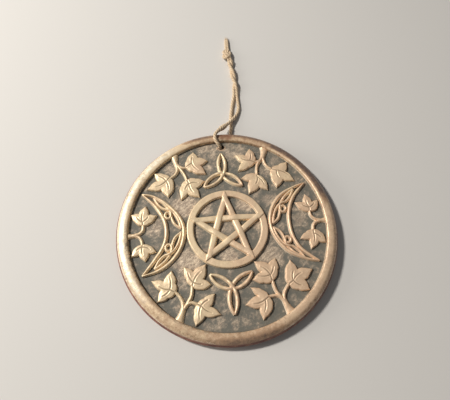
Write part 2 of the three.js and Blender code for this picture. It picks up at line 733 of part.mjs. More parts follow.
const frontStrand = twineTube([...frontStrandPoints, ...twistedPoints(1)], twineStep);
const backStrand = twineTube([...backStrandPoints, ...twistedPoints(-1)], twineStep);
const twine = new THREE.Group();
twine.add(piece('twine_front_strand', frontStrand, jute));
twine.add(piece('twine_back_strand', backStrand, jute));
twine.add(piece('twine_knot', knotLump(), jute));
twine.add(piece('twine_tail_front', twineTube(tailPoints(1), tailStep), jute));
twine.add(piece('twine_tail_back', twineTube(tailPoints(-1), tailStep), jute));

const model = new THREE.Group();
model.add(plaque, twine);
export default model;
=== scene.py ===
"""Looks of the triple moon wall plaque: a cast relief in worn bronze paint and its knotted jute twine.

The relief is worked out in millimetres in the plaque's own frame, with heights counted from the
field, and becomes a mesh in metres at the end.
"""
import logging
import math
from dataclasses import dataclass
from enum import Enum
from typing import Callable, ClassVar, Optional, Sequence, Union

import bpy
import numpy as np
from mathutils import Matrix, Vector


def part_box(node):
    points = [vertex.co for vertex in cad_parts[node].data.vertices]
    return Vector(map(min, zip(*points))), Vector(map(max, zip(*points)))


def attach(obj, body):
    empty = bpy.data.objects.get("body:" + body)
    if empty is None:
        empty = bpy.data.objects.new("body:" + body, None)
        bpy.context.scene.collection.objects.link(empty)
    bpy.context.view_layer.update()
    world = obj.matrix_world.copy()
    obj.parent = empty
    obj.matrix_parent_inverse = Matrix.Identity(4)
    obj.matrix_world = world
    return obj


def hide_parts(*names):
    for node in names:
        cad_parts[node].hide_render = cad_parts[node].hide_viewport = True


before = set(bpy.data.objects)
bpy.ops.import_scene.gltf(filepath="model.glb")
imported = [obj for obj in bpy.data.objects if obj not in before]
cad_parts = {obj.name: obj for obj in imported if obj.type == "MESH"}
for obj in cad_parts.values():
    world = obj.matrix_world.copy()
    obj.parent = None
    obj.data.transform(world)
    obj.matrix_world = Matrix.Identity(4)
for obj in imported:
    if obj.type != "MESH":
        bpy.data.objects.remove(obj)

Array = np.ndarray
Point = Sequence[float]
Mesh = bpy.types.Mesh
Object = bpy.types.Object
Socket = bpy.types.NodeSocket
Value = Union[Socket, float, tuple]
Change = Callable[[Array, Array, Array], tuple[Array, Array]]

LOG = logging.getLogger("plaque")
MM = 0.001
PLAQUE = "plaque"
TWINE = "twine"
NOISE_SQUARES = 256
NOISE_SHIFT = 300


class Slot(Enum):
    """The record's material slots."""

    RELIEF = "bronze_relief"
    FIELD = "shadowed_field"
    TWINE = "jute_twine"


class Combine(Enum):
    """Ways of making one closed mesh from shells."""

    JOIN = "UNION"
    TAKE_AWAY = "DIFFERENCE"


def node_top(node: str) -> float:
    """Height of a CAD node's highest point in millimetres."""
    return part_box(node)[1].z / MM


def node_radius(node: str) -> float:
    """Radius in millimetres of a round CAD node centred on the origin."""
    low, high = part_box(node)
    return (high.x - low.x) / 2 / MM


FIELD_HEIGHT = node_top("plaque_slab")
PLAQUE_RADIUS = node_radius("plaque_slab")


# Shapes worked out as whole arrays

@dataclass
class Shell:
    """A closed surface: points in millimetres, four-cornered and three-cornered faces."""

    points: Array
    quads: Array
    triangles: Array

    def turned_out(self) -> "Shell":
        """The shell with its faces pointing out, by the sign of its volume.

        Returns:
            This shell, or a copy with the order of its corners reversed.
        """
        corners = np.concatenate([self.quads[:, [0, 1, 2]], self.quads[:, [0, 2, 3]], self.triangles])
        a, b, c = (self.points[corners[:, k]] for k in range(3))
        if np.einsum("ij,ij->i", a, np.cross(b, c)).sum() >= 0:
            return self
        return Shell(self.points, self.quads[:, ::-1], self.triangles[:, ::-1])

    def moved(self, step: Point) -> "Shell":
        """The shell moved by a step."""
        return Shell(self.points + np.asarray(step, float), self.quads, self.triangles)


def merged(shells: Sequence[Shell]) -> Shell:
    """Several shells as one, side by side and not cut by each other.

    Args:
        shells: the shells to put together.

    Returns:
        One shell that holds the points and faces of all.
    """
    starts = np.cumsum([0] + [len(shell.points) for shell in shells[:-1]])
    return Shell(
        np.concatenate([shell.points for shell in shells]),
        np.concatenate([shell.quads + start for shell, start in zip(shells, starts)]),
        np.concatenate([shell.triangles + start for shell, start in zip(shells, starts)]),
    )


def ease(value: Array, low: float, high: float) -> Array:
    """Smooth step from 0 at low to 1 at high: 3t squared less 2t cubed."""
    t = np.clip((np.asarray(value, float) - low) / (high - low), 0, 1)
    return t * t * (3 - 2 * t)


def wander(run: Array, seed: int, wave: float, amount: float) -> Array:
    """Slow drift along a run, as a hand leaves it: three sine waves of unlike length.

    Args:
        run: distances along the run, or angles in the same unit as wave.
        seed: what fixes the phases.
        wave: the longest wavelength.
        amount: about the greatest drift.

    Returns:
        The drift at each place of the run.
    """
    phases = np.random.default_rng(seed).uniform(0, 2 * np.pi, 3)
    drift = sum(np.sin(2 * np.pi * run / (wave * share) + phase)
                for share, phase in zip((1, 0.618, 0.36), phases))
    return amount * drift / 2


def between(values: Array, i: Array, j: Array, s: Array, t: Array) -> Array:
    """Blend of the four values round each place of a lattice, which repeats itself.

    Args:
        values: the lattice.
        i, j: number of the place's square each way.
        s, t: share of the square passed each way.

    Returns:
        The blended value at each place.
    """
    rows, columns = values.shape
    at = [values[(i + a) % rows, (j + b) % columns] for a, b in ((0, 0), (1, 0), (0, 1), (1, 1))]
    return (at[0] * (1 - s) + at[1] * s) * (1 - t) + (at[2] * (1 - s) + at[3] * s) * t


def value_noise(x: Array, y: Array, cell: float, seed: int) -> Array:
    """Smooth random height between -1 and 1: seeded values on a square lattice, eased between.

    Args:
        x, y: places, in the unit of cell.
        cell: width of a lattice square.
        seed: what fixes the values.

    Returns:
        The height at each place.
    """
    lattice = np.random.default_rng(seed).uniform(-1, 1, (NOISE_SQUARES, NOISE_SQUARES))
    u, v = (x + NOISE_SHIFT) / cell, (y + NOISE_SHIFT) / cell
    i, j = np.floor(u).astype(int), np.floor(v).astype(int)
    return between(lattice, i, j, ease(u - i, 0, 1), ease(v - j, 0, 1))


def unit(vectors: Array) -> Array:
    """Vectors of length 1 along each row's vector."""
    return vectors / np.linalg.norm(vectors, axis=1)[:, None]


def run_along(path: Array) -> Array:
    """Distance passed at each point of a path."""
    return np.concatenate([[0], np.cumsum(np.linalg.norm(np.diff(path, axis=0), axis=1))])


def evenly(curve: Array, spacing: float) -> Array:
    """A polyline with its points moved to an even spacing along it.

    Args:
        curve: points of the line.
        spacing: the greatest distance between the new points.

    Returns:
        The new points, the first and last as they were.
    """
    run = run_along(curve)
    marks = np.linspace(0, run[-1], max(3, int(np.ceil(run[-1] / spacing)) + 1))
    return np.column_stack([np.interp(marks, run, column) for column in curve.T])


def spline(points: Sequence[Point], spacing: float) -> Array:
    """Smooth curve through points: a centripetal Catmull-Rom spline, evenly spaced.

    Between two points the curve is a blend of blends of straight lines through four neighbours,
    whose knots lie the square root of their distances apart.

    Args:
        points: what the curve passes through.
        spacing: distance between the points of the result.

    Returns:
        The curve's points.
    """
    p = np.asarray(points, float)
    p = np.vstack([2 * p[0] - p[1], p, 2 * p[-1] - p[-2]])
    knots = np.concatenate([[0], np.cumsum(np.linalg.norm(np.diff(p, axis=0), axis=1) ** 0.5)])
    lines = [p[k:len(p) - 3 + k, None, :] for k in range(4)]
    marks = [knots[k:len(p) - 3 + k, None, None] for k in range(4)]
    t = marks[1] + (marks[2] - marks[1]) * np.linspace(0, 1, 30, endpoint=False)[None, :, None]
    for spans in (((0, 1), (1, 2), (2, 3)), ((0, 2), (1, 3)), ((1, 2),)):
        lines = [((marks[b] - t) * low + (t - marks[a]) * high) / (marks[b] - marks[a])
                 for (a, b), low, high in zip(spans, lines, lines[1:])]
    return evenly(np.vstack([lines[0].reshape(-1, p.shape[1]), p[-2]]), spacing)


def circle_round(side: Array, up: Array, angles: Array) -> Array:
    """Points of a unit circle across each of several lines: side cos a + up sin a.

    Args:
        side, up: two directions square to each line, n by 3.
        angles: m angles round it.

    Returns:
        The points, n by m by 3.
    """
    return np.cos(angles)[:, None] * side[:, None] + np.sin(angles)[:, None] * up[:, None]


def bump(distance: Array, reach: float) -> Array:
    """Half a cosine wave, 1 at distance 0 and 0 from reach on."""
    return (1 + np.cos(np.pi * np.clip(np.abs(distance) / reach, 0, 1))) / 2


def fan(centre: int, first: Array, second: Array) -> Array:
    """Triangles from the point of one number to each pair of points of two rows of numbers."""
    return np.stack([np.full(len(first), centre), first, second], axis=-1)


def carried(sections: Array, middles: Optional[Sequence[Point]] = None) -> Shell:
    """Closed shell through a stack of closed sections, with a fan of triangles over each end.

    Args:
        sections: array of rows by points by 3, each row one closed section.
        middles: the middles of the two fans, or none for the middles of the end sections.

    Returns:
        The shell, its faces pointing out.
    """
    rows, count, _ = sections.shape
    if middles is None:
        middles = [sections[0].mean(0), sections[-1].mean(0)]
    points = np.concatenate([sections.reshape(-1, 3), middles])
    index = np.arange(rows * count).reshape(rows, count)
    after = np.roll(index, -1, axis=1)
    quads = np.stack([index[:-1], after[:-1], after[1:], index[1:]], axis=-1).reshape(-1, 4)
    ends = [fan(rows * count, after[0], index[0]), fan(rows * count + 1, index[-1], after[-1])]
    return Shell(points, quads, np.concatenate(ends)).turned_out()


def revolved(profile: Array, segments: int, change: Optional[Change] = None) -> Shell:
    """Profile of radius and height turned about the vertical axis, closed on the axis or on itself.

    A point at angle a is (radius cos a, radius sin a, height).

    Args:
        profile: array of points by (radius, height). Where it starts and ends on the axis, each
            end becomes one point, and otherwise the last point joins the first.
        segments: number of steps round.
        change: takes the angles in a column and the radii and heights, each angles by profile,
            and returns new radii and heights.

    Returns:
        The shell, its faces pointing out.
    """
    angles = (np.arange(segments) * 2 * np.pi / segments)[:, None]
    poles = profile[0, 0] == 0 and profile[-1, 0] == 0
    ring = profile[1:-1] if poles else profile
    radius, height = (np.broadcast_to(column, (segments, len(ring))) for column in ring.T)
    if change is not None:
        radius, height = change(angles, radius, height)
    flat = np.stack([np.cos(angles) * radius, np.sin(angles) * radius, height], axis=-1).reshape(-1, 3)
    index = np.arange(len(flat)).reshape(segments, len(ring))
    if not poles:
        index = np.concatenate([index, index[:, :1]], axis=1)
    beside = np.roll(index, -1, axis=0)
    quads = np.stack([index[:, :-1], beside[:, :-1], beside[:, 1:], index[:, 1:]], axis=-1).reshape(-1, 4)
    triangles = np.zeros((0, 3), int)
    if poles:
        triangles = np.concatenate([
            fan(len(flat), beside[:, 0], index[:, 0]), fan(len(flat) + 1, index[:, -1], beside[:, -1])])
        flat = np.concatenate([flat, [[0, 0, profile[0, 1]], [0, 0, profile[-1, 1]]]])
    return Shell(flat, quads, triangles).turned_out()


def distance_to_lines(points: Array, starts: Array, ends: Array) -> Array:
    """Distance of each point from the nearest of several straight lines, in the plane.

    Args:
        points: array of n by 2.
        starts, ends: the lines' ends, arrays of m by 2.

    Returns:
        n distances.
    """
    along = ends - starts
    square = np.maximum((along ** 2).sum(1), 1e-12)
    best = np.full(len(points), np.inf)
    for start, step, size in zip(starts, along, square):
        offset = points - start
        share = np.clip(offset @ step / size, 0, 1)
        best = np.minimum(best, np.hypot(*(offset - share[:, None] * step).T))
    return best


@dataclass(frozen=True)
class Section:
    """Cross-section of a raised band.

    Its top is half a superellipse: across goes as the cosine and up as the sine of the angle, each
    to the power 2 / squareness. Its foot runs out on the field by the flare, which dies away
    with the height.
    """

    squareness: float = 2.6
    flare: float = 0.35
    flare_height: float = 0.4
    sink: float = 0.4
    points: int = 15

    def sweep(self, path: Array, half: Array, top: Array, ground: Union[Array, float] = 0.0) -> Shell:
        """The section carried along a flat path.

        Args:
            path: points of the line that the band follows, n by 2.
            half: how far the band reaches to each side, n.
            top: height of its crest above the field, n.
            ground: height of what it stands on, n or one for all.

        Returns:
            The band's shell, sunk into what it stands on.
        """
        tangent = unit(np.gradient(path, axis=0))
        normal = np.stack([-tangent[:, 1], tangent[:, 0]], axis=1)
        angle = np.linspace(0, np.pi, self.points)
        across = np.sign(np.cos(angle)) * np.abs(np.cos(angle)) ** (2 / self.squareness)
        up = np.sin(angle).clip(0) ** (2 / self.squareness)
        ground = np.broadcast_to(ground, len(path))[:, None]
        height = ground + (top[:, None] - ground) * up
        spread = np.sign(across) * self.flare * np.exp(-(height - ground) / self.flare_height)
        side = half[:, None] * across + spread
        side = np.concatenate([side, side[:, -1:], side[:, :1]], axis=1)
        bottom = ground - self.sink
        height = np.concatenate([height, bottom, bottom], axis=1)
        flat = path[:, None, :] + side[:, :, None] * normal[:, None, :]
        return carried(np.concatenate([flat, height[:, :, None]], axis=2))


# Meshes and objects

def new_mesh(name: str, shell: Shell) -> Mesh:
    """A Blender mesh in metres from a shell in millimetres.

    Args:
        name: the mesh's name.
        shell: points and faces.

    Returns:
        The mesh.
    """
    mesh = bpy.data.meshes.new(name)
    corners = np.concatenate([shell.quads.ravel(), shell.triangles.ravel()]).astype(np.int32)
    sizes = np.repeat([4, 3], [len(shell.quads), len(shell.triangles)])
    mesh.vertices.add(len(shell.points))
    mesh.vertices.foreach_set("co", (shell.points * MM).astype(np.float32).ravel())
    mesh.loops.add(len(corners))
    mesh.loops.foreach_set("vertex_index", corners)
    mesh.polygons.add(len(sizes))
    mesh.polygons.foreach_set("loop_start", (np.cumsum(sizes) - sizes).astype(np.int32))
    mesh.update(calc_edges=True)
    mesh.validate()
    return mesh


def new_object(name: str, mesh: Mesh) -> Object:
    """An object at the origin that shows a mesh.

    Args:
        name: its name.
        mesh: the mesh.

    Returns:
        The object.
    """
    made = bpy.data.objects.new(name, mesh)
    bpy.context.scene.collection.objects.link(made)
    return made


def mesh_points(mesh: Mesh) -> Array:
    """Places of a mesh's vertices in millimetres, n by 3.

    Args:
        mesh: the mesh.

    Returns:
        The places.
    """
    places = np.zeros(len(mesh.vertices) * 3, np.float32)
    mesh.vertices.foreach_get("co", places)
    return places.reshape(-1, 3).astype(float) / MM


def paint_values(mesh: Mesh, **values: Array) -> None:
    """Stores one number for each vertex under each name, which a material reads by the name.

    Args:
        mesh: the mesh.
        values: the numbers by the name to store them under.
    """
    for name, numbers in values.items():
        made = mesh.attributes.new(name, "FLOAT", "POINT")
        made.data.foreach_set("value", np.asarray(numbers, np.float32))


def smooth(mesh: Mesh, crease: float) -> None:
    """Shades a mesh smooth, with sharp edges where it turns by more than crease degrees.

    Args:
        mesh: the mesh.
        crease: the angle in degrees.
    """
    mesh.polygons.foreach_set("use_smooth", np.ones(len(mesh.polygons), bool))
    mesh.set_sharp_from_angle(angle=math.radians(crease))
    mesh.update()


def boolean(name: str, base: Shell, others: Sequence[Shell], way: Combine) -> Mesh:
    """One closed mesh from several shells.

    Args:
        name: the new mesh's name.
        base: the shell that the others are joined to or cut from.
        others: the other shells.
        way: whether they are joined or cut away.

    Returns:
        The mesh.
    """
    body, *helpers = [new_object(f"{name}_{number}", new_mesh(f"{name}_{number}", shell))
                      for number, shell in enumerate([base, *others])]
    for helper in helpers:
        step = body.modifiers.new(helper.name, "BOOLEAN")
        step.operation = way.value
        step.solver = "MANIFOLD"
        step.object = helper
    bpy.context.view_layer.update()
    evaluated = body.evaluated_get(bpy.context.evaluated_depsgraph_get())
    mesh = bpy.data.meshes.new_from_object(evaluated)
    mesh.name = name
    for helper in [body, *helpers]:
        old = helper.data
        bpy.data.objects.remove(helper)
        bpy.data.meshes.remove(old)
    return mesh


def united(name: str, shells: Sequence[Shell]) -> Mesh:
    """Several shells as one closed mesh, standing on the field."""
    lifted = [shell.moved((0, 0, FIELD_HEIGHT)) for shell in shells]
    return boolean(name, lifted[0], lifted[1:], Combine.JOIN)


# Materials

def linear(red: float, green: float, blue: float) -> tuple[float, float, float, float]:
    """A display colour of 0 to 255 a channel as a linear colour for a shader.

    Args:
        red, green, blue: the channels.

    Returns:
        Red, green, blue and opacity, from 0 to 1.
    """
    share = np.array([red, green, blue]) / 255
    value = np.where(share <= 0.04045, share / 12.92, ((share + 0.055) / 1.055) ** 2.4)
    return (*value.tolist(), 1.0)


@dataclass(frozen=True)
class Pattern:
    """A noise pattern: its waves a metre, how many finer layers it has and how strong these are."""

    scale: float
    detail: float
    rough: float


class Paint:
    """A material, laid colour over colour, and short calls for the nodes that the finishes share."""

    def __init__(self, name: str, colour: tuple) -> None:
        """Starts a material with a principled shader.

        Args:
            name: the material's name.
            colour: its first colour.
        """
        self.material = bpy.data.materials.new(name)
        self.material.use_nodes = True
        self.tree = self.material.node_tree
        self.shader = self.tree.nodes["Principled BSDF"]
        self.place = self.node("ShaderNodeTexCoord").outputs["Object"]
        self.colour = colour

    def feed(self, socket: Socket, value: Value) -> None:
        """Links a socket to another one, or gives it a constant value.

        Args:
            socket: what is fed.
            value: another socket, a number or a colour.
        """
        if isinstance(value, Socket):
            self.tree.links.new(value, socket)
        else:
            socket.default_value = value

    def node(self, kind: str, inputs: Optional[dict] = None, **settings: Union[str, bool]) -> bpy.types.Node:
        """Adds a node.

        Args:
            kind: the node's type.
            inputs: values or sockets for its inputs, by name or number.
            settings: its properties.

        Returns:
            The node.
        """
        made = self.tree.nodes.new(kind)
        for key, value in settings.items():
            setattr(made, key, value)
        for key, value in (inputs or {}).items():
            self.feed(made.inputs[key], value)
        return made

    def math(self, operation: str, *values: Value) -> Socket:
        """A sum, product or the like of numbers and sockets."""
        return self.node("ShaderNodeMath", dict(enumerate(values)), operation=operation).outputs[0]

    def times(self, first: Value, second: Value) -> Socket:
        """The product of two numbers or sockets."""
        return self.math("MULTIPLY", first, second)

    def plus(self, first: Value, second: Value) -> Socket:
        """The sum of two numbers or sockets."""
        return self.math("ADD", first, second)

    def ramp(self, value: Value, low: float, high: float) -> Socket:
        """Smooth step of a value, 0 at low and 1 at high, which may lie below low.

        Args:
            value: what is read.
            low, high: where the step starts and ends.

        Returns:
            The step's output.
        """
        inputs = {"Value": value, 1: min(low, high), 2: max(low, high),
                  3: float(low > high), 4: float(low < high)}
        return self.node("ShaderNodeMapRange", inputs, interpolation_type="SMOOTHSTEP").outputs[0]

    def noise(self, pattern: Pattern, place: Optional[Socket] = None) -> Socket:
        """Noise between 0 and 1.

        Args:
            pattern: its waves and layers.
            place: where it is read, or none for the object's own places.

        Returns:
            The noise's output.
        """
        inputs = {"Vector": place or self.place, "Scale": pattern.scale, "Detail": pattern.detail,
                  "Roughness": pattern.rough}
        return self.node("ShaderNodeTexNoise", inputs).outputs[0]

    def attribute(self, name: str) -> Socket:
        """The number that the mesh stores under a name, 0 where it stores none."""
        return self.node("ShaderNodeAttribute", attribute_name=name).outputs["Fac"]

    def mix(self, share: Value, low: Value, high: Value) -> Socket:
        """A colour between two colours."""
        return self.node("ShaderNodeMix", {0: share, 6: low, 7: high}, data_type="RGBA").outputs[2]

    def cover(self, share: Value, colour: Value, strength: float = 1.0) -> None:
        """Lays a colour over the colour so far, by a share and a strength.

        Args:
            share: how much of it covers each place.
            colour: the colour.
            strength: what the share is multiplied by.
        """
        if strength < 1:
            share = self.times(share, strength)
        self.colour = self.mix(share, self.colour, colour)

    def axis(self, name: str) -> Socket:
        """One coordinate of the place."""
        return self.node("ShaderNodeSeparateXYZ", {0: self.place}).outputs[name]

    def stretched(self, vector: Socket, scale: Point, turn: float = 0.0) -> Socket:
        """A place turned back by an angle and with each coordinate multiplied, which stretches a pattern.

        Args:
            vector: the place.
            scale: three factors.
            turn: the angle in radians.

        Returns:
            The new place.
        """
        if turn:
            inputs = {"Vector": vector, "Angle": -turn}
            vector = self.node("ShaderNodeVectorRotate", inputs, rotation_type="Z_AXIS").outputs[0]
        return self.node("ShaderNodeMapping", {"Vector": vector, "Scale": scale}).outputs[0]

    def bump(self, height: Socket, depth: float, normal: Optional[Socket] = None) -> Socket:
        """A normal tilted by a height of 0 to 1, which stands for depth metres.

        Args:
            height: the height.
            depth: what 1 stands for, in metres.
            normal: the normal to tilt, or none for the surface's.

        Returns:
            The tilted normal.
        """
        inputs = {"Height": height, "Distance": depth, "Strength": 1.0}
        if normal is not None:
            inputs["Normal"] = normal
        return self.node("ShaderNodeBump", inputs).outputs[0]

    def height_over_field(self) -> Socket:
        """Height above the field in millimetres."""
        return self.math("DIVIDE", self.math("SUBTRACT", self.axis("Z"), FIELD_HEIGHT * MM), MM)

    def finished(self, **inputs: Value) -> bpy.types.Material:
        """The material, with its colour and the shader's other sockets fed.

        Args:
            inputs: values or sockets by socket name, with underscores for spaces.

        Returns:
            The material.
        """
        for name, value in {"Base_Color": self.colour, **inputs}.items():
            self.feed(self.shader.inputs[name.replace("_", " ")], value)
        return self.material


@dataclass(frozen=True)
class WornBronze:
    """Light bronze paint rubbed over a dark wash, on the relief and the rim.

    The wash stays in grooves and where the mesh stores wash. The foot of the walls is paler, a painted
    highlight for brightly lit walls, and the paint turns warmer and darker towards the lower right, partly
    as painted shade. The mesh stores dusk from 0 to 1 for tan and then dusky paint, partly
    painted shade on the side away from the light, shine for the palest paint, a painted
    highlight on the side the light comes from, rose for a red tone, partly painted shade and a
    painted shadow of the twine, and scuffed where the paint is rubbed through.
    """

    light: tuple = linear(235, 207, 166)
    # Warm tone, laid towards the lower right partly as painted shade.
    warm: tuple = linear(223, 185, 150)
    pale: tuple = linear(247, 227, 195)
    wash: tuple = linear(88, 80, 64)
    tan: tuple = linear(190, 154, 122)
    # Dusky paint, which on the rim's right and lower right is partly painted shade.
    dusk: tuple = linear(118, 98, 88)
    # The palest paint, laid as a painted highlight.
    shine: tuple = linear(255, 246, 224)
    # Red tone, partly painted shade and a painted shadow of the twine.
    rose: tuple = linear(150, 104, 80)
    scuff: tuple = linear(128, 102, 82)
    clouds: Pattern = Pattern(45, 3, 0.55)
    fine: Pattern = Pattern(900, 4, 0.65)
    mottle: Pattern = Pattern(1300, 5, 0.75)
    blotches: Pattern = Pattern(260, 3, 0.6)
    patches: Pattern = Pattern(330, 5, 0.75)
    specks: Pattern = Pattern(700, 1, 0.4)
    scratches: Pattern = Pattern(420, 6, 0.85)
    worn_spots: Pattern = Pattern(70, 2, 0.5)
    dents: Pattern = Pattern(260, 3, 0.5)
    pits: Pattern = Pattern(2600, 2, 0.6)
    warm_slant: float = 0.4
    dent_depth: float = 0.00022
    pit_depth: float = 0.00004
    metallic: float = 0.25
    roughness: float = 0.4
    roughness_spread: float = 0.16
    wash_roughness: float = 0.15
    gloss: float = 0.5

    def material(self) -> bpy.types.Material:
        """The finish as a material.

        Returns:
            The material.
        """
        paint = Paint("worn_bronze", self.light)
        # Warmer, darker paint towards the lower right: random clouds of warm tone, plus a slant that is
        # painted shade for the light falling off away from the lamp on the left.
        slant = paint.math("SUBTRACT", paint.axis("X"), paint.times(paint.axis("Y"), self.warm_slant))
        warmth = paint.plus(paint.noise(self.clouds), paint.times(paint.ramp(slant, -0.06, 0.09), 0.3))
        paint.cover(paint.ramp(warmth, 0.45, 0.82), self.warm)
        fine = paint.noise(self.fine)
        paint.cover(paint.ramp(fine, 0.5, 0.75), self.pale, strength=0.5)
        height = paint.height_over_field()
        paint.cover(paint.ramp(height, 1.6, 3.4), self.pale, strength=0.25)
        # Paler lower walls on the relief and the rim: a painted highlight that stands in for walls lit by the
        # lamp.
        foot = paint.times(paint.ramp(height, 1.9, 0.7), paint.ramp(height, -0.3, 0.1))
        paint.cover(foot, self.shine, strength=0.6)
        mottle = paint.plus(paint.noise(self.mottle), paint.times(paint.noise(self.blotches), 0.55))
        rubbed = paint.times(paint.attribute("wash"), paint.ramp(mottle, 0.7, 0.86))
        dark = paint.math("MAXIMUM", paint.times(paint.attribute("groove"), 0.75), rubbed)
        paint.cover(dark, self.wash)
        patch = paint.math("SUBTRACT", paint.noise(self.patches), 0.5)
        # Tan, then dusky paint where the mesh stores it: dusky paint, and on the rim's right and lower right
        # partly painted shade on the side away from the light.
        dusk = paint.attribute("dusk")
        uneven = paint.times(patch, paint.ramp(dusk, 0.0, 0.3))
        dusk = paint.plus(dusk, paint.times(uneven, 1.1))
        paint.cover(paint.ramp(dusk, 0.04, 0.5), self.tan)
        paint.cover(paint.ramp(dusk, 0.45, 0.95), self.dusk)
        # Palest paint where the mesh stores it, on the rim's left, the side the light comes from: a painted
        # highlight.
        shine = paint.times(paint.attribute("shine"), paint.ramp(patch, -0.16, 0.08))
        paint.cover(shine, self.shine, strength=0.85)
        # Red tone where the mesh stores it: reddish paint, partly painted shade on the rim's lower outer
        # edge, and a painted shadow of the twine on the rim beside it.
        rose = paint.plus(paint.attribute("rose"), paint.times(patch, 1.1))
        paint.cover(paint.ramp(rose, 0.1, 1.1), self.rose, strength=0.75)
        speck = paint.ramp(paint.noise(self.specks), 0.27, 0.2)
        paint.cover(speck, self.wash, strength=0.45)
        scuff = paint.plus(paint.noise(self.scratches), paint.times(paint.noise(self.worn_spots), 0.3))
        scuff = paint.times(paint.ramp(scuff, 0.67, 0.78), paint.attribute("scuffed"))
        paint.cover(scuff, self.scuff, strength=0.8)
        smoothest = self.roughness - self.roughness_spread / 2
        rough = paint.plus(smoothest, paint.times(fine, self.roughness_spread))
        rough = paint.plus(rough, paint.times(dark, self.wash_roughness))
        normal = paint.bump(paint.noise(self.dents), self.dent_depth)
        normal = paint.bump(paint.noise(self.pits), self.pit_depth, normal)
        return paint.finished(
            Metallic=self.metallic, Roughness=rough, Normal=normal, Specular_IOR_Level=self.gloss)


@dataclass(frozen=True)
class RubbedField:
    """Dark grey-green paint of the field, with bronze rubbed over the open places.

    The mesh stores open, from 0 beside the relief to 1 in the open, rubbed where hands have
    polished it, nook in narrow gaps, for wash and painted shade, bore in the
    hanging hole, for painted shade, and lip round it, for worn paint and a painted highlight on its lower
    half, side on the disc's edge, for reddish paint and painted shade, and back on its underside.
    """

    ground: tuple = linear(106, 103, 93)
    earth: tuple = linear(154, 134, 116)
    rubbed: tuple = linear(240, 218, 188)
    # Dark paint of narrow gaps, partly wash and partly painted shade.
    nook: tuple = linear(78, 70, 56)
    # Painted shade inside the hanging hole.
    bore: tuple = linear(62, 48, 38)
    # The disc's edge: reddish paint, darker than the rim, partly painted shade.
    side: tuple = linear(152, 106, 88)
    shade: tuple = linear(114, 72, 62)
    clay: tuple = linear(168, 116, 88)
    chalk: tuple = linear(192, 146, 116)
    # Pale lip paint: worn paint and a painted highlight.
    lip: tuple = linear(196, 162, 130)
    clumps: Pattern = Pattern(170, 5, 0.7)
    streaks: Pattern = Pattern(420, 4, 0.7)
    streak_stretch: tuple = (0.5, 1.2, 1)
    streak_turn: float = 0.7
    grain: Pattern = Pattern(900, 5, 0.85)
    side_clouds: Pattern = Pattern(160, 4, 0.6)
    clay_clouds: Pattern = Pattern(90, 5, 0.6)
    clump_depth: float = 0.0003
    grain_depth: float = 0.00018
    metallic: float = 0.3
    roughness: float = 0.66
    rubbed_smoothness: float = 0.18
    clay_roughness: float = 0.25

    def material(self) -> bpy.types.Material:
        """The finish as a material.

        Returns:
            The material.
        """
        paint = Paint("rubbed_field", self.ground)
        clumps = paint.noise(self.clumps)
        streaks = paint.noise(
            self.streaks, paint.stretched(paint.place, self.streak_stretch, self.streak_turn))
        grain = paint.noise(self.grain)
        zone = paint.plus(paint.times(clumps, 1.5), paint.times(paint.attribute("open"), 0.12))
        zone = paint.ramp(paint.plus(zone, paint.times(paint.attribute("rubbed"), 0.5)), 0.72, 1.3)
        paint.cover(zone, self.earth, strength=0.9)
        speckle = paint.plus(paint.times(grain, 0.5), paint.times(streaks, 0.5))
        speckle = paint.times(zone, paint.ramp(speckle, 0.42, 0.6))
        paint.cover(speckle, self.rubbed, strength=0.85)
        # Darker paint in narrow gaps between the motifs: wash left there, and painted shade where the gaps
        # close in.
        paint.cover(paint.attribute("nook"), self.nook, strength=0.8)
        # The hole's wall painted dark: painted shade inside the hole.
        paint.cover(paint.attribute("bore"), self.bore)
        # Paler paint round the lower half of the hole's lip: worn paint, and a painted highlight where the
        # lip faces the light.
        paint.cover(paint.attribute("lip"), self.lip, strength=0.75)
        # The disc's edge darker and redder: reddish paint, and painted shade as on an edge that faces away
        # from the light.
        side = paint.mix(paint.ramp(paint.noise(self.side_clouds), 0.35, 0.65), self.side, self.shade)
        paint.cover(paint.attribute("side"), side)
        clay = paint.mix(paint.ramp(paint.noise(self.clay_clouds), 0.35, 0.7), self.clay, self.chalk)
        back = paint.attribute("back")
        paint.cover(back, clay)
        rough = paint.math("SUBTRACT", self.roughness, paint.times(speckle, self.rubbed_smoothness))
        rough = paint.plus(rough, paint.times(back, self.clay_roughness))
        normal = paint.bump(clumps, self.clump_depth, paint.bump(grain, self.grain_depth))
        metallic = paint.times(speckle, self.metallic)
        return paint.finished(Metallic=metallic, Roughness=rough, Normal=normal)


@dataclass(frozen=True)
class Jute:
    """Straw-coloured jute yarn: fibres that run along the strand, with painted shade in the grooves between
    the yarns.

    The UV map holds the distance along the strand in metres and the share round it.
    """

    straw: tuple = linear(240, 219, 186)
    tan: tuple = linear(218, 190, 154)
    brown: tuple = linear(142, 112, 82)
    fibres: Pattern = Pattern(1, 4, 0.7)
    fibre_stretch: tuple = (260, 26, 1)
    tufts: Pattern = Pattern(160, 3, 0.6)
    fibre_depth: float = 0.00022
    roughness: float = 0.86
    sheen: float = 0.25
    sheen_roughness: float = 0.5

    def material(self) -> bpy.types.Material:
        """The finish as a material.

        Returns:
            The material.
        """
        paint = Paint("jute", self.tan)
        along = paint.node("ShaderNodeUVMap").outputs[0]
        fibres = paint.noise(self.fibres, paint.stretched(along, self.fibre_stretch))
        paint.cover(paint.ramp(fibres, 0.38, 0.66), self.straw)
        paint.cover(paint.ramp(paint.noise(self.tufts), 0.52, 0.74), self.tan, strength=0.45)
        # Brown in the grooves between the yarns: painted shade.
        paint.cover(paint.attribute("groove"), self.brown, strength=0.75)
        normal = paint.bump(fibres, self.fibre_depth)
        return paint.finished(Roughness=self.roughness, Normal=normal, Sheen_Weight=self.sheen,
                              Sheen_Roughness=self.sheen_roughness)


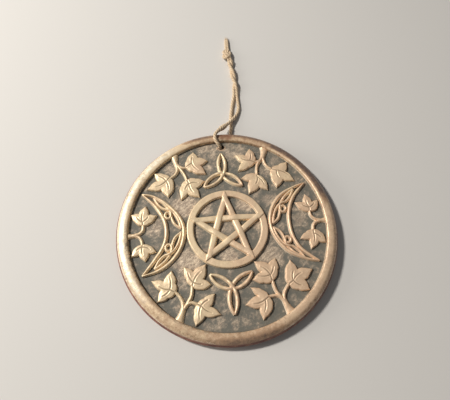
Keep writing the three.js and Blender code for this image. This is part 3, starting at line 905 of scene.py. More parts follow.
@dataclass(frozen=True)
class Coat:
    """A finish as the pieces wear it: its material, its slot in the record and the body they ride on."""

    material: bpy.types.Material
    slot: Slot
    body: str

    def dress(self, made: Object, *nodes: str) -> None:
        """Gives a piece the material and the body, and hides the CAD nodes that it replaces.

        Args:
            made: the piece.
            nodes: CAD nodes that it replaces.
        """
        made.data.materials.clear()
        made.data.materials.append(self.material)
        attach(made, self.body)
        if nodes:
            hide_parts(*nodes)
        LOG.info("%s: %d vertices, %d faces", made.name, len(made.data.vertices), len(made.data.polygons))


# Camera, light and floor

@dataclass(frozen=True)
class Studio:
    """The camera at the photograph's angle, soft light from the left and a pale floor."""

    eye: tuple = (-0.0149, -0.1078, 0.3386)
    aim: tuple = (0.0001, 0.0285, 0.009)
    roll: float = 1.95
    focal_pixels: float = 385.1
    image_width: float = 450.0
    image_height: float = 400.0
    optical_row: float = 199.3
    sensor: float = 36.0
    light_distance: float = 1.7
    light_direction: tuple = (-0.62, 0.29, 0.73)
    light_size: float = 0.2
    light_power: float = 27.0
    side_direction: tuple = (-0.93, 0.1, 0.33)
    side_size: float = 0.8
    side_power: float = 10.0
    light_colour: tuple = (1.0, 0.975, 0.935)
    world_colour: tuple = (0.97, 0.98, 1.0, 1.0)
    world_strength: float = 0.15
    floor_colour: tuple = linear(214, 210, 204)
    floor_size: float = 3.0
    floor_gap: float = 0.0001

    def build(self) -> None:
        """Makes the camera, the lamps, the world and the floor."""
        scene = bpy.context.scene
        scene.view_settings.view_transform = "Standard"
        self.camera()
        self.lamp("lamp", self.light_direction, self.light_size, self.light_power)
        self.lamp("side_lamp", self.side_direction, self.side_size, self.side_power)
        self.world()
        self.floor()

    def camera(self) -> None:
        """The camera: fitted to the rim and the ring in the photograph."""
        scene = bpy.context.scene
        lens = bpy.data.cameras.new("camera")
        lens.sensor_width = self.sensor
        lens.lens = self.focal_pixels / self.image_width * self.sensor
        lens.shift_y = (self.optical_row - self.image_height / 2) / self.image_width
        lens.clip_start = 0.01
        camera = bpy.data.objects.new("camera", lens)
        scene.collection.objects.link(camera)
        forward = Vector(self.aim) - Vector(self.eye)
        turn = forward.to_track_quat("-Z", "Y").to_matrix().to_4x4()
        roll = Matrix.Rotation(math.radians(self.roll), 4, "Z")
        camera.matrix_world = Matrix.Translation(Vector(self.eye)) @ turn @ roll
        scene.camera = camera

    def lamp(self, name: str, direction: tuple, size: float, power: float) -> None:
        """A round soft lamp that faces the plaque.

        Args:
            name: the lamp's name.
            direction: from the plaque towards the lamp.
            size: diameter in metres.
            power: in watts.
        """
        light = bpy.data.lights.new(name, "AREA")
        light.shape = "DISK"
        light.size = size
        light.energy = power
        light.color = self.light_colour
        lamp = bpy.data.objects.new(name, light)
        bpy.context.scene.collection.objects.link(lamp)
        lamp.location = Vector(direction).normalized() * self.light_distance
        lamp.rotation_euler = lamp.location.to_track_quat("Z", "Y").to_euler()

    def world(self) -> None:
        """Even light from all round."""
        world = bpy.data.worlds.new("world")
        world.use_nodes = True
        background = world.node_tree.nodes["Background"]
        background.inputs[0].default_value = self.world_colour
        background.inputs[1].default_value = self.world_strength
        bpy.context.scene.world = world

    def floor(self) -> None:
        """A plain pale floor just under the plaque."""
        half = self.floor_size / 2 / MM
        low = -self.floor_gap / MM
        corners = np.array([[-half, -half, low], [half, -half, low], [half, half, low], [-half, half, low]])
        flat = Shell(corners, np.array([[0, 1, 2, 3]]), np.zeros((0, 3), int))
        made = new_object("floor", new_mesh("floor", flat))
        made.data.materials.append(Paint("floor", self.floor_colour).finished(Roughness=0.9))


# The plaque's ground and rim

@dataclass
class Ground:
    """The disc behind the relief: sunk field, rounded edge, bevelled back and hanging hole."""

    radius: float = PLAQUE_RADIUS
    height: float = FIELD_HEIGHT
    widest_height: float = 5.6
    edge_setback: float = 1.6
    back_flat_radius: float = 68.0
    back_bevel_rise: float = 4.8
    edge_rounding: float = 1.4
    field_radius: float = 88.9
    hole_place: tuple = (0.6, 84.0)
    hole_radius: float = 2.7
    front_lip: float = 0.75
    back_flare: float = 1.7
    back_flare_depth: float = 2.2
    unevenness: float = 0.1
    segments: int = 500
    back_steps: int = 20
    field_steps: int = 145
    drill_segments: int = 64
    overshoot: float = 1.0
    clear_reach: float = 5.5
    gap_reach: float = 1.5
    narrow_gap: float = 1.2
    wide_gap: float = 2.6
    grid: float = 0.5
    rubs: tuple = (
        (-38, 25, 15, 1.0), (-37, -29, 16, 1.0), (-19, 22, 11, 0.9), (18, 23, 11, 1.0), (0, -26, 11, 0.9),
        (36, -30, 15, 0.8), (29, 2, 9, 0.6), (-27, -2, 9, 0.5), (-66, 6, 12, 0.6), (-60, -26, 9, 0.7),
        (-14, 79, 17, 0.5), (13, 76, 16, 0.4), (-46, 62, 9, 0.6), (-16, 61, 9, 0.4), (-55, 34, 9, 0.4),
        (47, 24, 8, 0.5), (66, 8, 14, 0.35), (40, 26, 9, 0.3), (-60, -46, 10, 0.3), (-16, -80, 12, 0.15),
        (14, -47, 8, 0.5), (-16, -50, 8, 0.5), (40, 56, 9, 0.4), (-44, -46, 9, 0.4), (30, 36, 9, 0.5),
        (0, 2, 11, 0.55), (0, -62, 10, 0.3), (0, 62, 8, 0.4))

    def profile(self) -> Array:
        """Radius and height from the middle of the back, round the edge, to the middle of the field.

        Returns:
            Points by (radius, height).
        """
        turn = np.linspace(0, np.pi / 2, 7)
        low = np.column_stack([
            self.radius - self.edge_rounding * (1 - np.sin(turn)),
            self.widest_height - (self.widest_height - self.back_bevel_rise) * np.cos(turn)])
        share = np.linspace(0, 1, 9)[1:]
        high = np.column_stack([
            self.radius - self.edge_setback * share ** 1.5,
            self.widest_height + (self.height - self.widest_height) * share])
        middle = np.linspace(0, self.back_flat_radius - 1, self.back_steps)
        back = np.column_stack([middle, np.zeros_like(middle)])
        bend = np.array([[self.back_flat_radius - 0.2, 0.02], [self.back_flat_radius + 0.8, 0.2]])
        slope = np.linspace([self.back_flat_radius + 2, 0.5], low[0], 10)[:-1]
        face = np.linspace(high[-1, 0] - 0.5, 0, self.field_steps)
        top = np.column_stack([face, np.full_like(face, self.height)])
        return np.vstack([back, bend, slope, low, high, top])

    def uneven(self, angles: Array, radius: Array, height: Array) -> tuple[Array, Array]:
        """The soft unevenness of a casting in the field's height: two sizes of smooth noise.

        Args:
            angles: directions from the middle.
            radius, height: the disc's points.

        Returns:
            The new radii and heights.
        """
        x, y = np.cos(angles) * radius, np.sin(angles) * radius
        inside = ease(radius, self.field_radius - 0.5, self.field_radius - 4)
        on_field = (height > self.height - 0.01) * inside
        rough = value_noise(x, y, 9, 3) * 0.7 + value_noise(x, y, 3.1, 4) * 0.4
        return radius, height + on_field * self.unevenness * (rough - 0.4)

    def drill(self) -> Shell:
        """What the hanging hole takes away, with a rounded lip in front and a flare behind.

        Returns:
            The tool, standing in the hole's place.
        """
        slope = self.back_bevel_rise / (self.radius - self.edge_rounding - self.back_flat_radius)
        mouth = (self.hole_place[1] - self.back_flat_radius) * slope
        wide = self.hole_radius + self.back_flare
        below, above = -self.overshoot, self.height + self.overshoot
        turn = np.linspace(0, np.pi / 2, 7)
        lip = np.column_stack([
            self.hole_radius + self.front_lip * (1 - np.cos(turn)),
            self.height - self.front_lip + self.front_lip * np.sin(turn)])
        outline = np.vstack([
            [[0, below], [wide, below], [wide, mouth], [self.hole_radius, mouth + self.back_flare_depth]],
            lip, [[self.hole_radius + self.front_lip + 0.1, above], [0, above]]])
        return revolved(outline, self.drill_segments).moved((*self.hole_place, 0))

    def openness(self, places: Array, relief: Array) -> tuple[Array, Array]:
        """How open the field is at each place, and how narrow the gap that the place lies in.

        The relief's points mark the squares of a grid, and the distance from the nearest marked
        square is passed on from square to square. The widest distance nearby tells a narrow gap.

        Args:
            places: array of n by 2.
            relief: places of the relief's points, m by 2.

        Returns:
            n shares from 0 beside the relief to 1 at clear_reach, and n shares of narrowness.
        """
        half = int(self.radius / self.grid)
        far = np.full((2 * half + 1, 2 * half + 1), self.clear_reach + 1)
        cells = np.clip(np.rint(relief / self.grid).astype(int) + half, 0, 2 * half)
        far[cells[:, 0], cells[:, 1]] = 0
        axis = np.arange(-half, half + 1) * self.grid
        from_middle = np.hypot(axis[:, None], axis[None, :])
        far = np.minimum(far, np.clip(self.field_radius - from_middle, 0, None))
        for _ in range(int(self.clear_reach / self.grid) + 2):
            for across, up in ((1, 0), (0, 1), (1, 1), (1, -1)):
                for sign in (1, -1):
                    moved = np.roll(far, (sign * across, sign * up), axis=(0, 1))
                    far = np.minimum(far, moved + math.hypot(across, up) * self.grid)
        wide = far
        for _ in range(int(self.gap_reach / self.grid)):
            for shift in ((1, 0), (-1, 0), (0, 1), (0, -1)):
                wide = np.maximum(wide, np.roll(wide, shift, axis=(0, 1)))
        u, v = np.clip(places / self.grid + half, 0, 2 * half - 1e-6).T
        i, j = u.astype(int), v.astype(int)
        far, wide = (between(values, i, j, u - i, v - j) for values in (far, wide))
        return np.clip(far / self.clear_reach, 0, 1), 1 - ease(wide, self.narrow_gap, self.wide_gap)

    def polish(self, x: Array, y: Array) -> Array:
        """How much the field is rubbed at each place: the strongest of soft round patches.

        Args:
            x, y: the places.

        Returns:
            A share from 0 to 1 for each.
        """
        return np.maximum.reduce([
            amount * ease(np.hypot(x - middle_x, y - middle_y), reach, reach * 0.35)
            for middle_x, middle_y, reach, amount in self.rubs])

    def build(self, coat: Coat, relief: Array) -> None:
        """Makes the disc, stores where its paints lie, and dresses it.

        Args:
            coat: its finish.
            relief: places of the relief's points, m by 2.
        """
        disc = revolved(self.profile(), self.segments, self.uneven)
        mesh = boolean("ground", disc, [self.drill()], Combine.TAKE_AWAY)
        places = mesh_points(mesh)
        x, y, z = places.T
        from_hole = np.hypot(x - self.hole_place[0], y - self.hole_place[1])
        open_place, narrow = self.openness(places[:, :2], relief)
        on_field = z > self.height - 0.5
        # Painted shade on the hanging hole's wall, below the field.
        bore = ease(from_hole, self.hole_radius + 0.5, self.hole_radius + 0.1) * (z < self.height - 0.3)
        edge = self.radius - self.edge_setback
        # The lip round the hole, paler on its lower half only: worn paint and a painted highlight where it
        # faces the light.
        lip = (ease(from_hole, self.hole_radius + 2.3, self.hole_radius + 0.9)
               * ease(from_hole, self.hole_radius, self.hole_radius + 0.4))
        paint_values(
            mesh, open=open_place, rubbed=self.polish(x, y) * on_field, nook=narrow * on_field, bore=bore,
            side=ease(np.hypot(x, y), edge - 0.2, edge + 0.1) * (z > 1),
            back=ease(z, self.widest_height, self.back_bevel_rise - 0.2) * (1 - bore),
            lip=lip * (y < self.hole_place[1] + 0.5))
        smooth(mesh, 50)
        coat.dress(new_object("ground", mesh), "plaque_slab")


@dataclass
class Rim:
    """The rounded bead round the edge, steep on its inner side, with wash rubbed into it."""

    outer_radius: float = node_radius("rim_bead")
    width: float = 9.5
    rise: float = 4.0
    lean: float = 0.7
    base_inset: float = 0.3
    base_sink: float = 0.4
    segments: int = 480
    section: tuple = ((0, 0), (0.006, 0.14), (0.018, 0.5), (0.05, 0.8), (0.11, 0.92), (0.2, 0.97), (0.32, 1),
                      (0.44, 0.99), (0.6, 0.93), (0.75, 0.74), (0.87, 0.43), (0.95, 0.18), (1, 0))

    def profile(self) -> Array:
        """Radius and height round the bead's section, its base sunk a little into the disc.

        Returns:
            Points by (radius, height).
        """
        inner = self.outer_radius - self.width
        top = spline(self.section, 0.03) * [self.width, self.rise] + [inner, 0]
        base = [[self.outer_radius - self.base_inset, -self.base_sink],
                [inner + self.base_inset, -self.base_sink]]
        return np.vstack([top, base]) + [0, FIELD_HEIGHT]

    def across(self, radius: Array) -> Array:
        """Share of the way from the bead's inner edge to its outer edge."""
        return (radius - self.outer_radius + self.width) / self.width

    def worn(self, angles: Array, radius: Array, height: Array) -> tuple[Array, Array]:
        """The bead's slight waves in width and height along its length, and small dents.

        Args:
            angles: directions from the middle.
            radius, height: the bead's points.

        Returns:
            The new radii and heights.
        """
        share = self.across(radius)
        up = (height - FIELD_HEIGHT).clip(0) / self.rise
        inward = wander(angles, 5, 2.1, 0.22) + wander(angles, 6, 0.31, 0.12)
        dents = value_noise(np.cos(angles) * radius, np.sin(angles) * radius, 4.2, 8) * 0.09
        radius = radius + inward * (1 - share).clip(0, 1) * up.clip(0, 1)
        radius = radius - self.lean * self.sector(angles, 135, 210, 25) * ease(share, 0.6, 0.1)
        return radius, height + (wander(angles, 9, 1.3, 0.08) + dents) * up

    @staticmethod
    def sector(angle: Array, low: float, high: float, soft: float) -> Array:
        """1 between two directions in degrees, easing to 0 over soft degrees beyond them.

        Args:
            angle: directions in radians.
            low, high: the two directions.
            soft: how far the easing goes on.

        Returns:
            A share from 0 to 1 for each.
        """
        middle, half = (low + high) / 2, (high - low) / 2
        away = np.abs((np.degrees(angle) - middle + 180) % 360 - 180)
        return ease(away, half + soft, half)

    def build(self, coat: Coat) -> None:
        """Makes the bead, stores where its paints lie, and dresses it.

        The paint goes from pale on the left, a painted highlight on the side the light comes from, through
        tan at the top and the bottom to dusky on the right, partly painted shade on the side away from the
        light, and is darker towards the outer edge.

        Args:
            coat: its finish.
        """
        mesh = new_mesh("rim", revolved(self.profile(), self.segments, self.worn))
        x, y, _ = mesh_points(mesh).T
        share, angle = self.across(np.hypot(x, y)), np.arctan2(y, x)
        # Darker sectors of the rim: on the right and the lower right, dusky paint and painted shade on the
        # side away from the light; darker paint at the top, the bottom and the lower left.
        right = self.sector(angle, 20, 54, 16) * ease(share, 0.08, 0.4) * 0.9
        top = self.sector(angle, 62, 104, 14) * (0.3 + 0.45 * ease(share, 0.3, 0.62))
        foot = self.sector(angle, 266, 288, 12) * (0.3 + 0.35 * ease(share, 0.3, 0.65))
        low_right = self.sector(angle, 250, 368, 18) * (0.16 + 0.14 * ease(share, 0.5, 0.8))
        low_right = low_right * ease(share, 0.06, 0.2)
        low_left = self.sector(angle, 208, 262, 14) * 0.26
        # A red tone on the lower outer edge, partly painted shade, and a red-brown patch just right of the
        # twine, a painted shadow of the twine over rosy paint.
        rosy = self.sector(angle, 215, 330, 25) * ease(share, 0.8, 0.97) * 0.5
        beside_twine = self.sector(angle, 85.5, 88.5, 4.5) * ease(share, 0.02, 0.25)
        edges = np.maximum(ease(share, 0.55, 0.85), ease(share, 0.2, 0.02))
        # The palest paint on the left of the bead is a painted highlight on the side the light comes from.
        paint_values(
            mesh,
            wash=self.sector(angle, 188, 256, 22) * ease(share, 0.4, 0.12) * 0.75,
            dusk=np.maximum.reduce([right, top, foot, low_right, low_left]),
            shine=self.sector(angle, 132, 206, 20) * ease(share, 0.12, 0.4) * ease(share, 0.95, 0.6),
            rose=np.maximum(rosy, beside_twine),
            scuffed=0.35 + 0.65 * edges)
        smooth(mesh, 60)
        coat.dress(new_object("rim", mesh), "rim_bead")


# The motifs of the relief, with heights counted from the field

@dataclass(frozen=True)
class Motif:
    """One piece of the relief: its name, the CAD node that it stands for, and how it is made."""

    name: str
    node: str
    crease: ClassVar[float] = 45

    def shells(self) -> list[Shell]:
        """What the motif is made of."""
        raise NotImplementedError

    def store(self, mesh: Mesh) -> None:
        """Stores what the finish reads from the mesh, which is nothing for most motifs."""

    def build(self, coat: Coat) -> Array:
        """Makes the piece and dresses it, its edges sharp from the angle crease on.

        Args:
            coat: its finish.

        Returns:
            The places of its points, n by 2.
        """
        mesh = united(self.name, self.shells())
        self.store(mesh)
        smooth(mesh, self.crease)
        coat.dress(new_object(self.name, mesh), self.node)
        return mesh_points(mesh)[:, :2]


def sunk_ends(run: Array, reach: float, depth: float) -> Array:
    """How far a cord sinks towards its ends: by depth there, easing to 0 at reach from them."""
    return ease(np.minimum(run, run[-1] - run), reach, 0) * depth


def narrowing(run: Array, full: float, tip: float, reach: float) -> Array:
    """Half widths along a cord: from half the tip's at both ends, on a sine, to half the full.

    Args:
        run: distances along the cord.
        full: width in the middle.
        tip: width at the ends.
        reach: share of the way over which it widens.

    Returns:
        The half width at each distance.
    """
    share = run / run[-1]
    inward = np.minimum(1, np.minimum(share, 1 - share) / reach)
    return (tip + (full - tip) * np.sin(inward * np.pi / 2)) / 2


def woven(run: Array, base: float, lift: float, crossings: Sequence[Point], reach: float) -> Array:
    """Height along a cord: a cosine bump up where it passes over and down where it passes under.

    Args:
        run: distances along the cord.
        base: its height away from the crossings.
        lift: height of a bump.
        crossings: for each, its share of the way and 1 for over or -1 for under.
        reach: share of the way that half a bump takes.

    Returns:
        The height at each distance.
    """
    bumps = [sign * bump(run / run[-1] - place, reach) for place, sign in crossings]
    return base + lift * np.sum(bumps, axis=0)


@dataclass(frozen=True)
class Ring(Motif):
    """The pentacle's flat ring, its width drifting a little."""

    radius: float = node_radius("pentacle_ring")
    width: float = 6.3
    rise: float = 3.0
    rounding: float = 0.9
    flare: float = 0.2
    sink: float = 0.4
    segments: int = 360
    crease: ClassVar[float] = 50

    def shells(self) -> list[Shell]:
        """A rounded flat band turned about the middle.

        Returns:
            The ring alone.
        """
        inner = self.radius - self.width
        turn = np.linspace(0, np.pi / 2, 6)
        outside = np.column_stack([
            self.radius - self.rounding * (1 - np.cos(turn)) - 0.1,
            self.rise - self.rounding * (1 - np.sin(turn))])
        inside = np.column_stack([inner + self.radius - outside[::-1, 0], outside[::-1, 1]])
        flat = np.linspace(outside[-1], inside[0], 7)[1:-1]
        profile = np.vstack([
            [[inner + self.flare, -self.sink], [self.radius - self.flare, -self.sink],
             [self.radius + self.flare, 0], [self.radius - 0.02, 0.5]],
            outside, flat, inside, [[inner + 0.02, 0.5], [inner - self.flare, 0]]])
        return [revolved(profile, self.segments, self.drift)]

    def drift(self, angles: Array, radius: Array, height: Array) -> tuple[Array, Array]:
        """The ring's slight waves in width, place and height.

        Args:
            angles: directions from the middle.
            radius, height: the ring's points.

        Returns:
            The new radii and heights.
        """
        middle = self.radius - self.width / 2
        wide = 1 + wander(angles, 14, 1.7, 0.03)
        up = height.clip(0, self.rise) / self.rise
        return (middle + (radius - middle) * wide + wander(angles, 15, 2.4, 0.1),
                height + wander(angles, 16, 0.9, 0.07) * up)


@dataclass(frozen=True)
class Star(Motif):
    """The pentacle's star of five woven bars, whose points lie across the ring."""

    ring: Ring
    bar_offset: float = 9.4
    bar_width: float = 5.8
    bar_rise: float = 3.2
    weave: float = 0.62
    weave_reach: float = 7.5
    tip_radius: float = 36.1
    tip_rise: float = 3.8
    tip_over: float = 0.12
    tip_ramp: float = 6.0
    tip_droop: float = 0.4
    tip_droop_reach: float = 1.4
    ring_sink: float = 0.45
    least_rise: float = 0.4
    crease: ClassVar[float] = 42

    def shells(self) -> list[Shell]:
        """The five bars."""
        return [self.bar(number) for number in range(5)]

    def bar(self, number: int) -> Shell:
        """One bar of the star.

        It runs square to its own direction at bar_offset from the middle. Its outer edge goes
        straight from the notch between two tips to the tip, and its inner edge ends on the line
        of the other bar's outer edge, so that two bars make one pointed tip. It rises at one
        crossing, sinks at the other, and climbs on to the ring at its ends.

        Args:
            number: which bar, from 0 to 4, each turned by 72 degrees.

        Returns:
            The bar's shell.
        """
        turn = 2 * np.pi * number / 5
        outward = np.array([-np.sin(turn), np.cos(turn)])
        along = np.array([outward[1], -outward[0]])
        far = self.bar_offset + self.bar_width / 2
        tenth = math.pi / 10
        tip_u, tip_v = self.tip_radius * math.cos(tenth), self.tip_radius * math.sin(tenth)
        notch_u = far * math.tan(2 * tenth)
        slope = math.atan((far - tip_v) / (tip_u - notch_u))
        steps = np.geomspace(0.2, tip_u + 0.1, 90) - 0.2
        u = (tip_u - 0.1) - steps[steps <= tip_u - 0.1]
        u = np.concatenate([-u, u[::-1]])
        outer = far - (np.abs(u) - notch_u).clip(0) * math.tan(slope)
        inner = tip_v - (tip_u - np.abs(u)) * math.tan(2 * tenth + slope)
        inner = np.maximum(inner, self.bar_offset - self.bar_width / 2)
        crossing = self.bar_offset * math.tan(2 * tenth)
        top = self.bar_rise + self.weave * (
            bump(u - crossing, self.weave_reach) - bump(u + crossing, self.weave_reach))
        radius = np.hypot(u, self.bar_offset)
        ring_inner = self.ring.radius - self.ring.width
        climb = ease(radius, ring_inner - self.tip_ramp, ring_inner + 0.5)
        on_ring = self.tip_rise - self.tip_over * np.sign(u)
        top = top * (1 - climb) + on_ring * climb + wander(u, 40 + number, 37, 0.1)
        top = top - ease(tip_u - np.abs(u), self.tip_droop_reach, 0.0) * self.tip_droop
        ground = np.where(radius > ring_inner, self.ring.rise - self.ring_sink, 0.0)
        ground = np.minimum(ground, top - self.least_rise)
        path = np.outer(u, along) + np.outer((outer + inner) / 2, outward)
        half = (outer - inner) / 2 + wander(u, 50 + number, 23, 0.07) * (1 - climb)
        return Section(squareness=4.2, flare=0.3, points=17).sweep(path, half, top, ground)


RING = Ring("ring", "pentacle_ring")
PENTACLE = (RING, Star("star", "pentagram", RING))


@dataclass(frozen=True)
class Knot:
    """The knot in one half of a crescent, drawn for the left crescent's upper half.

    It is turned, mirrored and stretched between its own two pointed ends.
    """

    middle_tip: tuple
    horn_tip: tuple
    side: int
    drawn_middle: tuple = (-42, 2.8)
    drawn_horn: tuple = (-65, 33)
    cords: tuple = (
        (((-42.2, 2.8), (-43.4, 8.3), (-45.6, 13.8), (-48.8, 18.3), (-52.3, 20.9), (-56.6, 22.1),
          (-61, 26), (-65, 33)), ((0.52, 1),)),
        (((-65, 33), (-60.8, 30.4), (-56, 26.6), (-52.7, 22.2), (-50.8, 18.4), (-50.5, 15),
          (-51.8, 12.9), (-53.9, 12.9), (-55.4, 14.6)), ((0.5, -1), (0.72, 1))),
        (((-55.5, 13.9), (-55.5, 16.6), (-53.8, 18.4), (-51.6, 17.6), (-50.3, 14.8), (-49.5, 11.4),
          (-47, 6.6), (-42, 2.8)), ((0.36, -1),)),
    )

    def placed(self, points: Sequence[Point]) -> Array:
        """Drawn points moved to this knot's own ends.

        Args:
            points: where they are drawn.

        Returns:
            Where they lie.
        """
        span = np.subtract(self.drawn_horn, self.drawn_middle)
        reach = np.subtract(self.horn_tip, self.middle_tip)
        along, new_along = span / np.hypot(*span), reach / np.hypot(*reach)
        offset = (np.array(points, float) - self.drawn_middle) * np.hypot(*reach) / np.hypot(*span)
        forward = offset @ along
        sideways = self.side * (offset[:, 0] * along[1] - offset[:, 1] * along[0])
        return (np.array(self.middle_tip) + np.outer(forward, new_along)
                + np.outer(sideways, [new_along[1], -new_along[0]]))


@dataclass(frozen=True)
class Crescent(Motif):
    """A crescent moon: an outer and an inner cord from tip to tip, and two knots between them."""

    outer: tuple
    inner: tuple
    knots: tuple
    seed: int
    cord_width: float = 3.5
    tip_width: float = 1.7
    cord_rise: float = 2.8
    horn_reach: float = 0.3
    knot_width: float = 2.65
    knot_rise: float = 2.6
    knot_weave: float = 0.6
    knot_reach: float = 0.14
    knot_step: float = 0.4
    step: float = 0.55
    end_reach: float = 2.5
    end_sink: float = 0.5

    def cord(self, points: Sequence[Point], seed: int) -> Shell:
        """An outer or inner cord, widest in the middle.

        Args:
            points: what it passes through.
            seed: what fixes its unevenness.

        Returns:
            The cord's shell.
        """
        path = spline(points, self.step)
        run = run_along(path)
        half = narrowing(run, self.cord_width, self.tip_width, self.horn_reach) + wander(run, seed, 31, 0.06)
        top = self.cord_rise + wander(run, seed + 1, 24, 0.1) - sunk_ends(run, self.end_reach, self.end_sink)
        return Section(squareness=2.1, flare=0.15).sweep(path, half, top)

    def strands(self, knot: Knot, seed: int) -> list[Shell]:
        """The three strands of one knot, woven over and under.

        Args:
            knot: where the knot lies and how its strands run.
            seed: what fixes their unevenness.

        Returns:
            The strands' shells.
        """
        section = Section(squareness=2.1, flare=0.1, flare_height=0.3, points=11)
        made = []
        for number, (points, crossings) in enumerate(knot.cords):
            path = spline(knot.placed(points), self.knot_step)
            run = run_along(path)
            half = self.knot_width / 2 + wander(run, seed + number, 13, 0.07)
            top = woven(run, self.knot_rise, self.knot_weave, crossings, self.knot_reach)
            made.append(section.sweep(path, half, top + wander(run, seed + 5 + number, 11, 0.05)))
        return made

    def shells(self) -> list[Shell]:
        """The two cords and the knots' strands.

        Returns:
            A shell for each.
        """
        made = [self.cord(self.outer, self.seed), self.cord(self.inner, self.seed + 3)]
        for number, knot in enumerate(self.knots):
            made += self.strands(knot, self.seed + 10 * (number + 1))
        return made


CRESCENTS = (
    Crescent(
        "left_moon", "moon_left",
        outer=((-76, 38.1), (-65.4, 35.2), (-50.8, 24), (-41.8, 12), (-39, 0.5), (-42, -14.3),
               (-50.8, -26.6), (-62.6, -34.2), (-75.8, -37.8)),
        inner=((-76, 38.1), (-63.9, 25.2), (-55.9, 10.5), (-54.5, -1), (-57, -12.1), (-65.4, -25),
               (-75.8, -37.8)),
        knots=(Knot((-41.2, 2.8), (-65.2, 33.6), 1), Knot((-41.2, -0.9), (-65.2, -32.6), -1)), seed=60),
    Crescent(
        "right_moon", "moon_right",
        outer=((75.3, 39.2), (66.2, 36.3), (51.1, 28.1), (41.5, 14.5), (39, 1), (43, -13),
               (52.5, -25.1), (67.3, -32.8), (77.5, -35.4)),
        inner=((75.3, 39.2), (62.9, 25.7), (57.1, 11.4), (56.2, 0), (57.4, -10.5), (63.2, -23.2),
               (77.5, -35.4)),
        knots=(Knot((41.2, 1.3), (63.8, 33.4), -1), Knot((41.2, -2.1), (65.2, -31.6), 1)), seed=90),
)


@dataclass(frozen=True)
class Triquetra(Motif):
    """A three-cornered knot of three arcs, each from corner to corner and just past the middle."""

    middle: tuple
    corners: tuple
    over: tuple
    seed: int
    reach: float = 22.0
    cord_width: float = 3.1
    tip_width: float = 2.0
    cord_rise: float = 2.7
    weave: float = 0.55
    overrun: float = 0.9
    crossings: tuple = (0.42, 0.58)
    crossing_reach: float = 0.1
    tip_reach: float = 0.25
    end_reach: float = 1.6
    end_sink: float = 0.4
    arc_points: int = 110

    def arc(self, number: int) -> Shell:
        """One arc: part of the circle through two corners and the point overrun past the middle.

        Args:
            number: the corner where it starts, from 0 to 2.

        Returns:
            The arc's shell.
        """
        corners = np.radians([self.corners[number], self.corners[(number + 1) % 3]])
        tips = self.middle + self.reach * np.column_stack([np.cos(corners), np.sin(corners)])
        chord_middle = tips.mean(0)
        inward = self.middle - chord_middle
        sagitta = np.hypot(*inward) + self.overrun
        half_chord = np.hypot(*(tips[1] - tips[0])) / 2
        radius = (half_chord ** 2 + sagitta ** 2) / (2 * sagitta)
        hub = chord_middle + inward / np.hypot(*inward) * (sagitta - radius)
        start, end = (math.atan2(*(tip - hub)[::-1]) for tip in tips)
        sweep = (end - start + math.pi) % (2 * math.pi) - math.pi
        angle = np.linspace(start, start + sweep, self.arc_points)
        path = hub + radius * np.column_stack([np.cos(angle), np.sin(angle)])
        run = run_along(path)
        half = narrowing(run, self.cord_width, self.tip_width, self.tip_reach)
        half = half + wander(run, self.seed + number, 19, 0.07)
        crossings = list(zip(self.crossings, self.over[number]))
        top = woven(run, self.cord_rise, self.weave, crossings, self.crossing_reach)
        top = top + wander(run, self.seed + 4 + number, 15, 0.07)
        top = top - sunk_ends(run, self.end_reach, self.end_sink)
        return Section(squareness=2.6, flare=0.28).sweep(path, half, top)

    def shells(self) -> list[Shell]:
        """The three arcs."""
        return [self.arc(number) for number in range(3)]


TRIQUETRAS = (
    Triquetra(
        "upper_triquetra", "triquetra_top", middle=(-0.3, 54), corners=(90, 215, 323),
        over=((1, 1), (1, -1), (-1, -1)), seed=110),
    Triquetra(
        "lower_triquetra", "triquetra_bottom", middle=(0, -53), corners=(270, 35, 146),
        over=((-1, -1), (-1, 1), (1, 1)), seed=120),
)


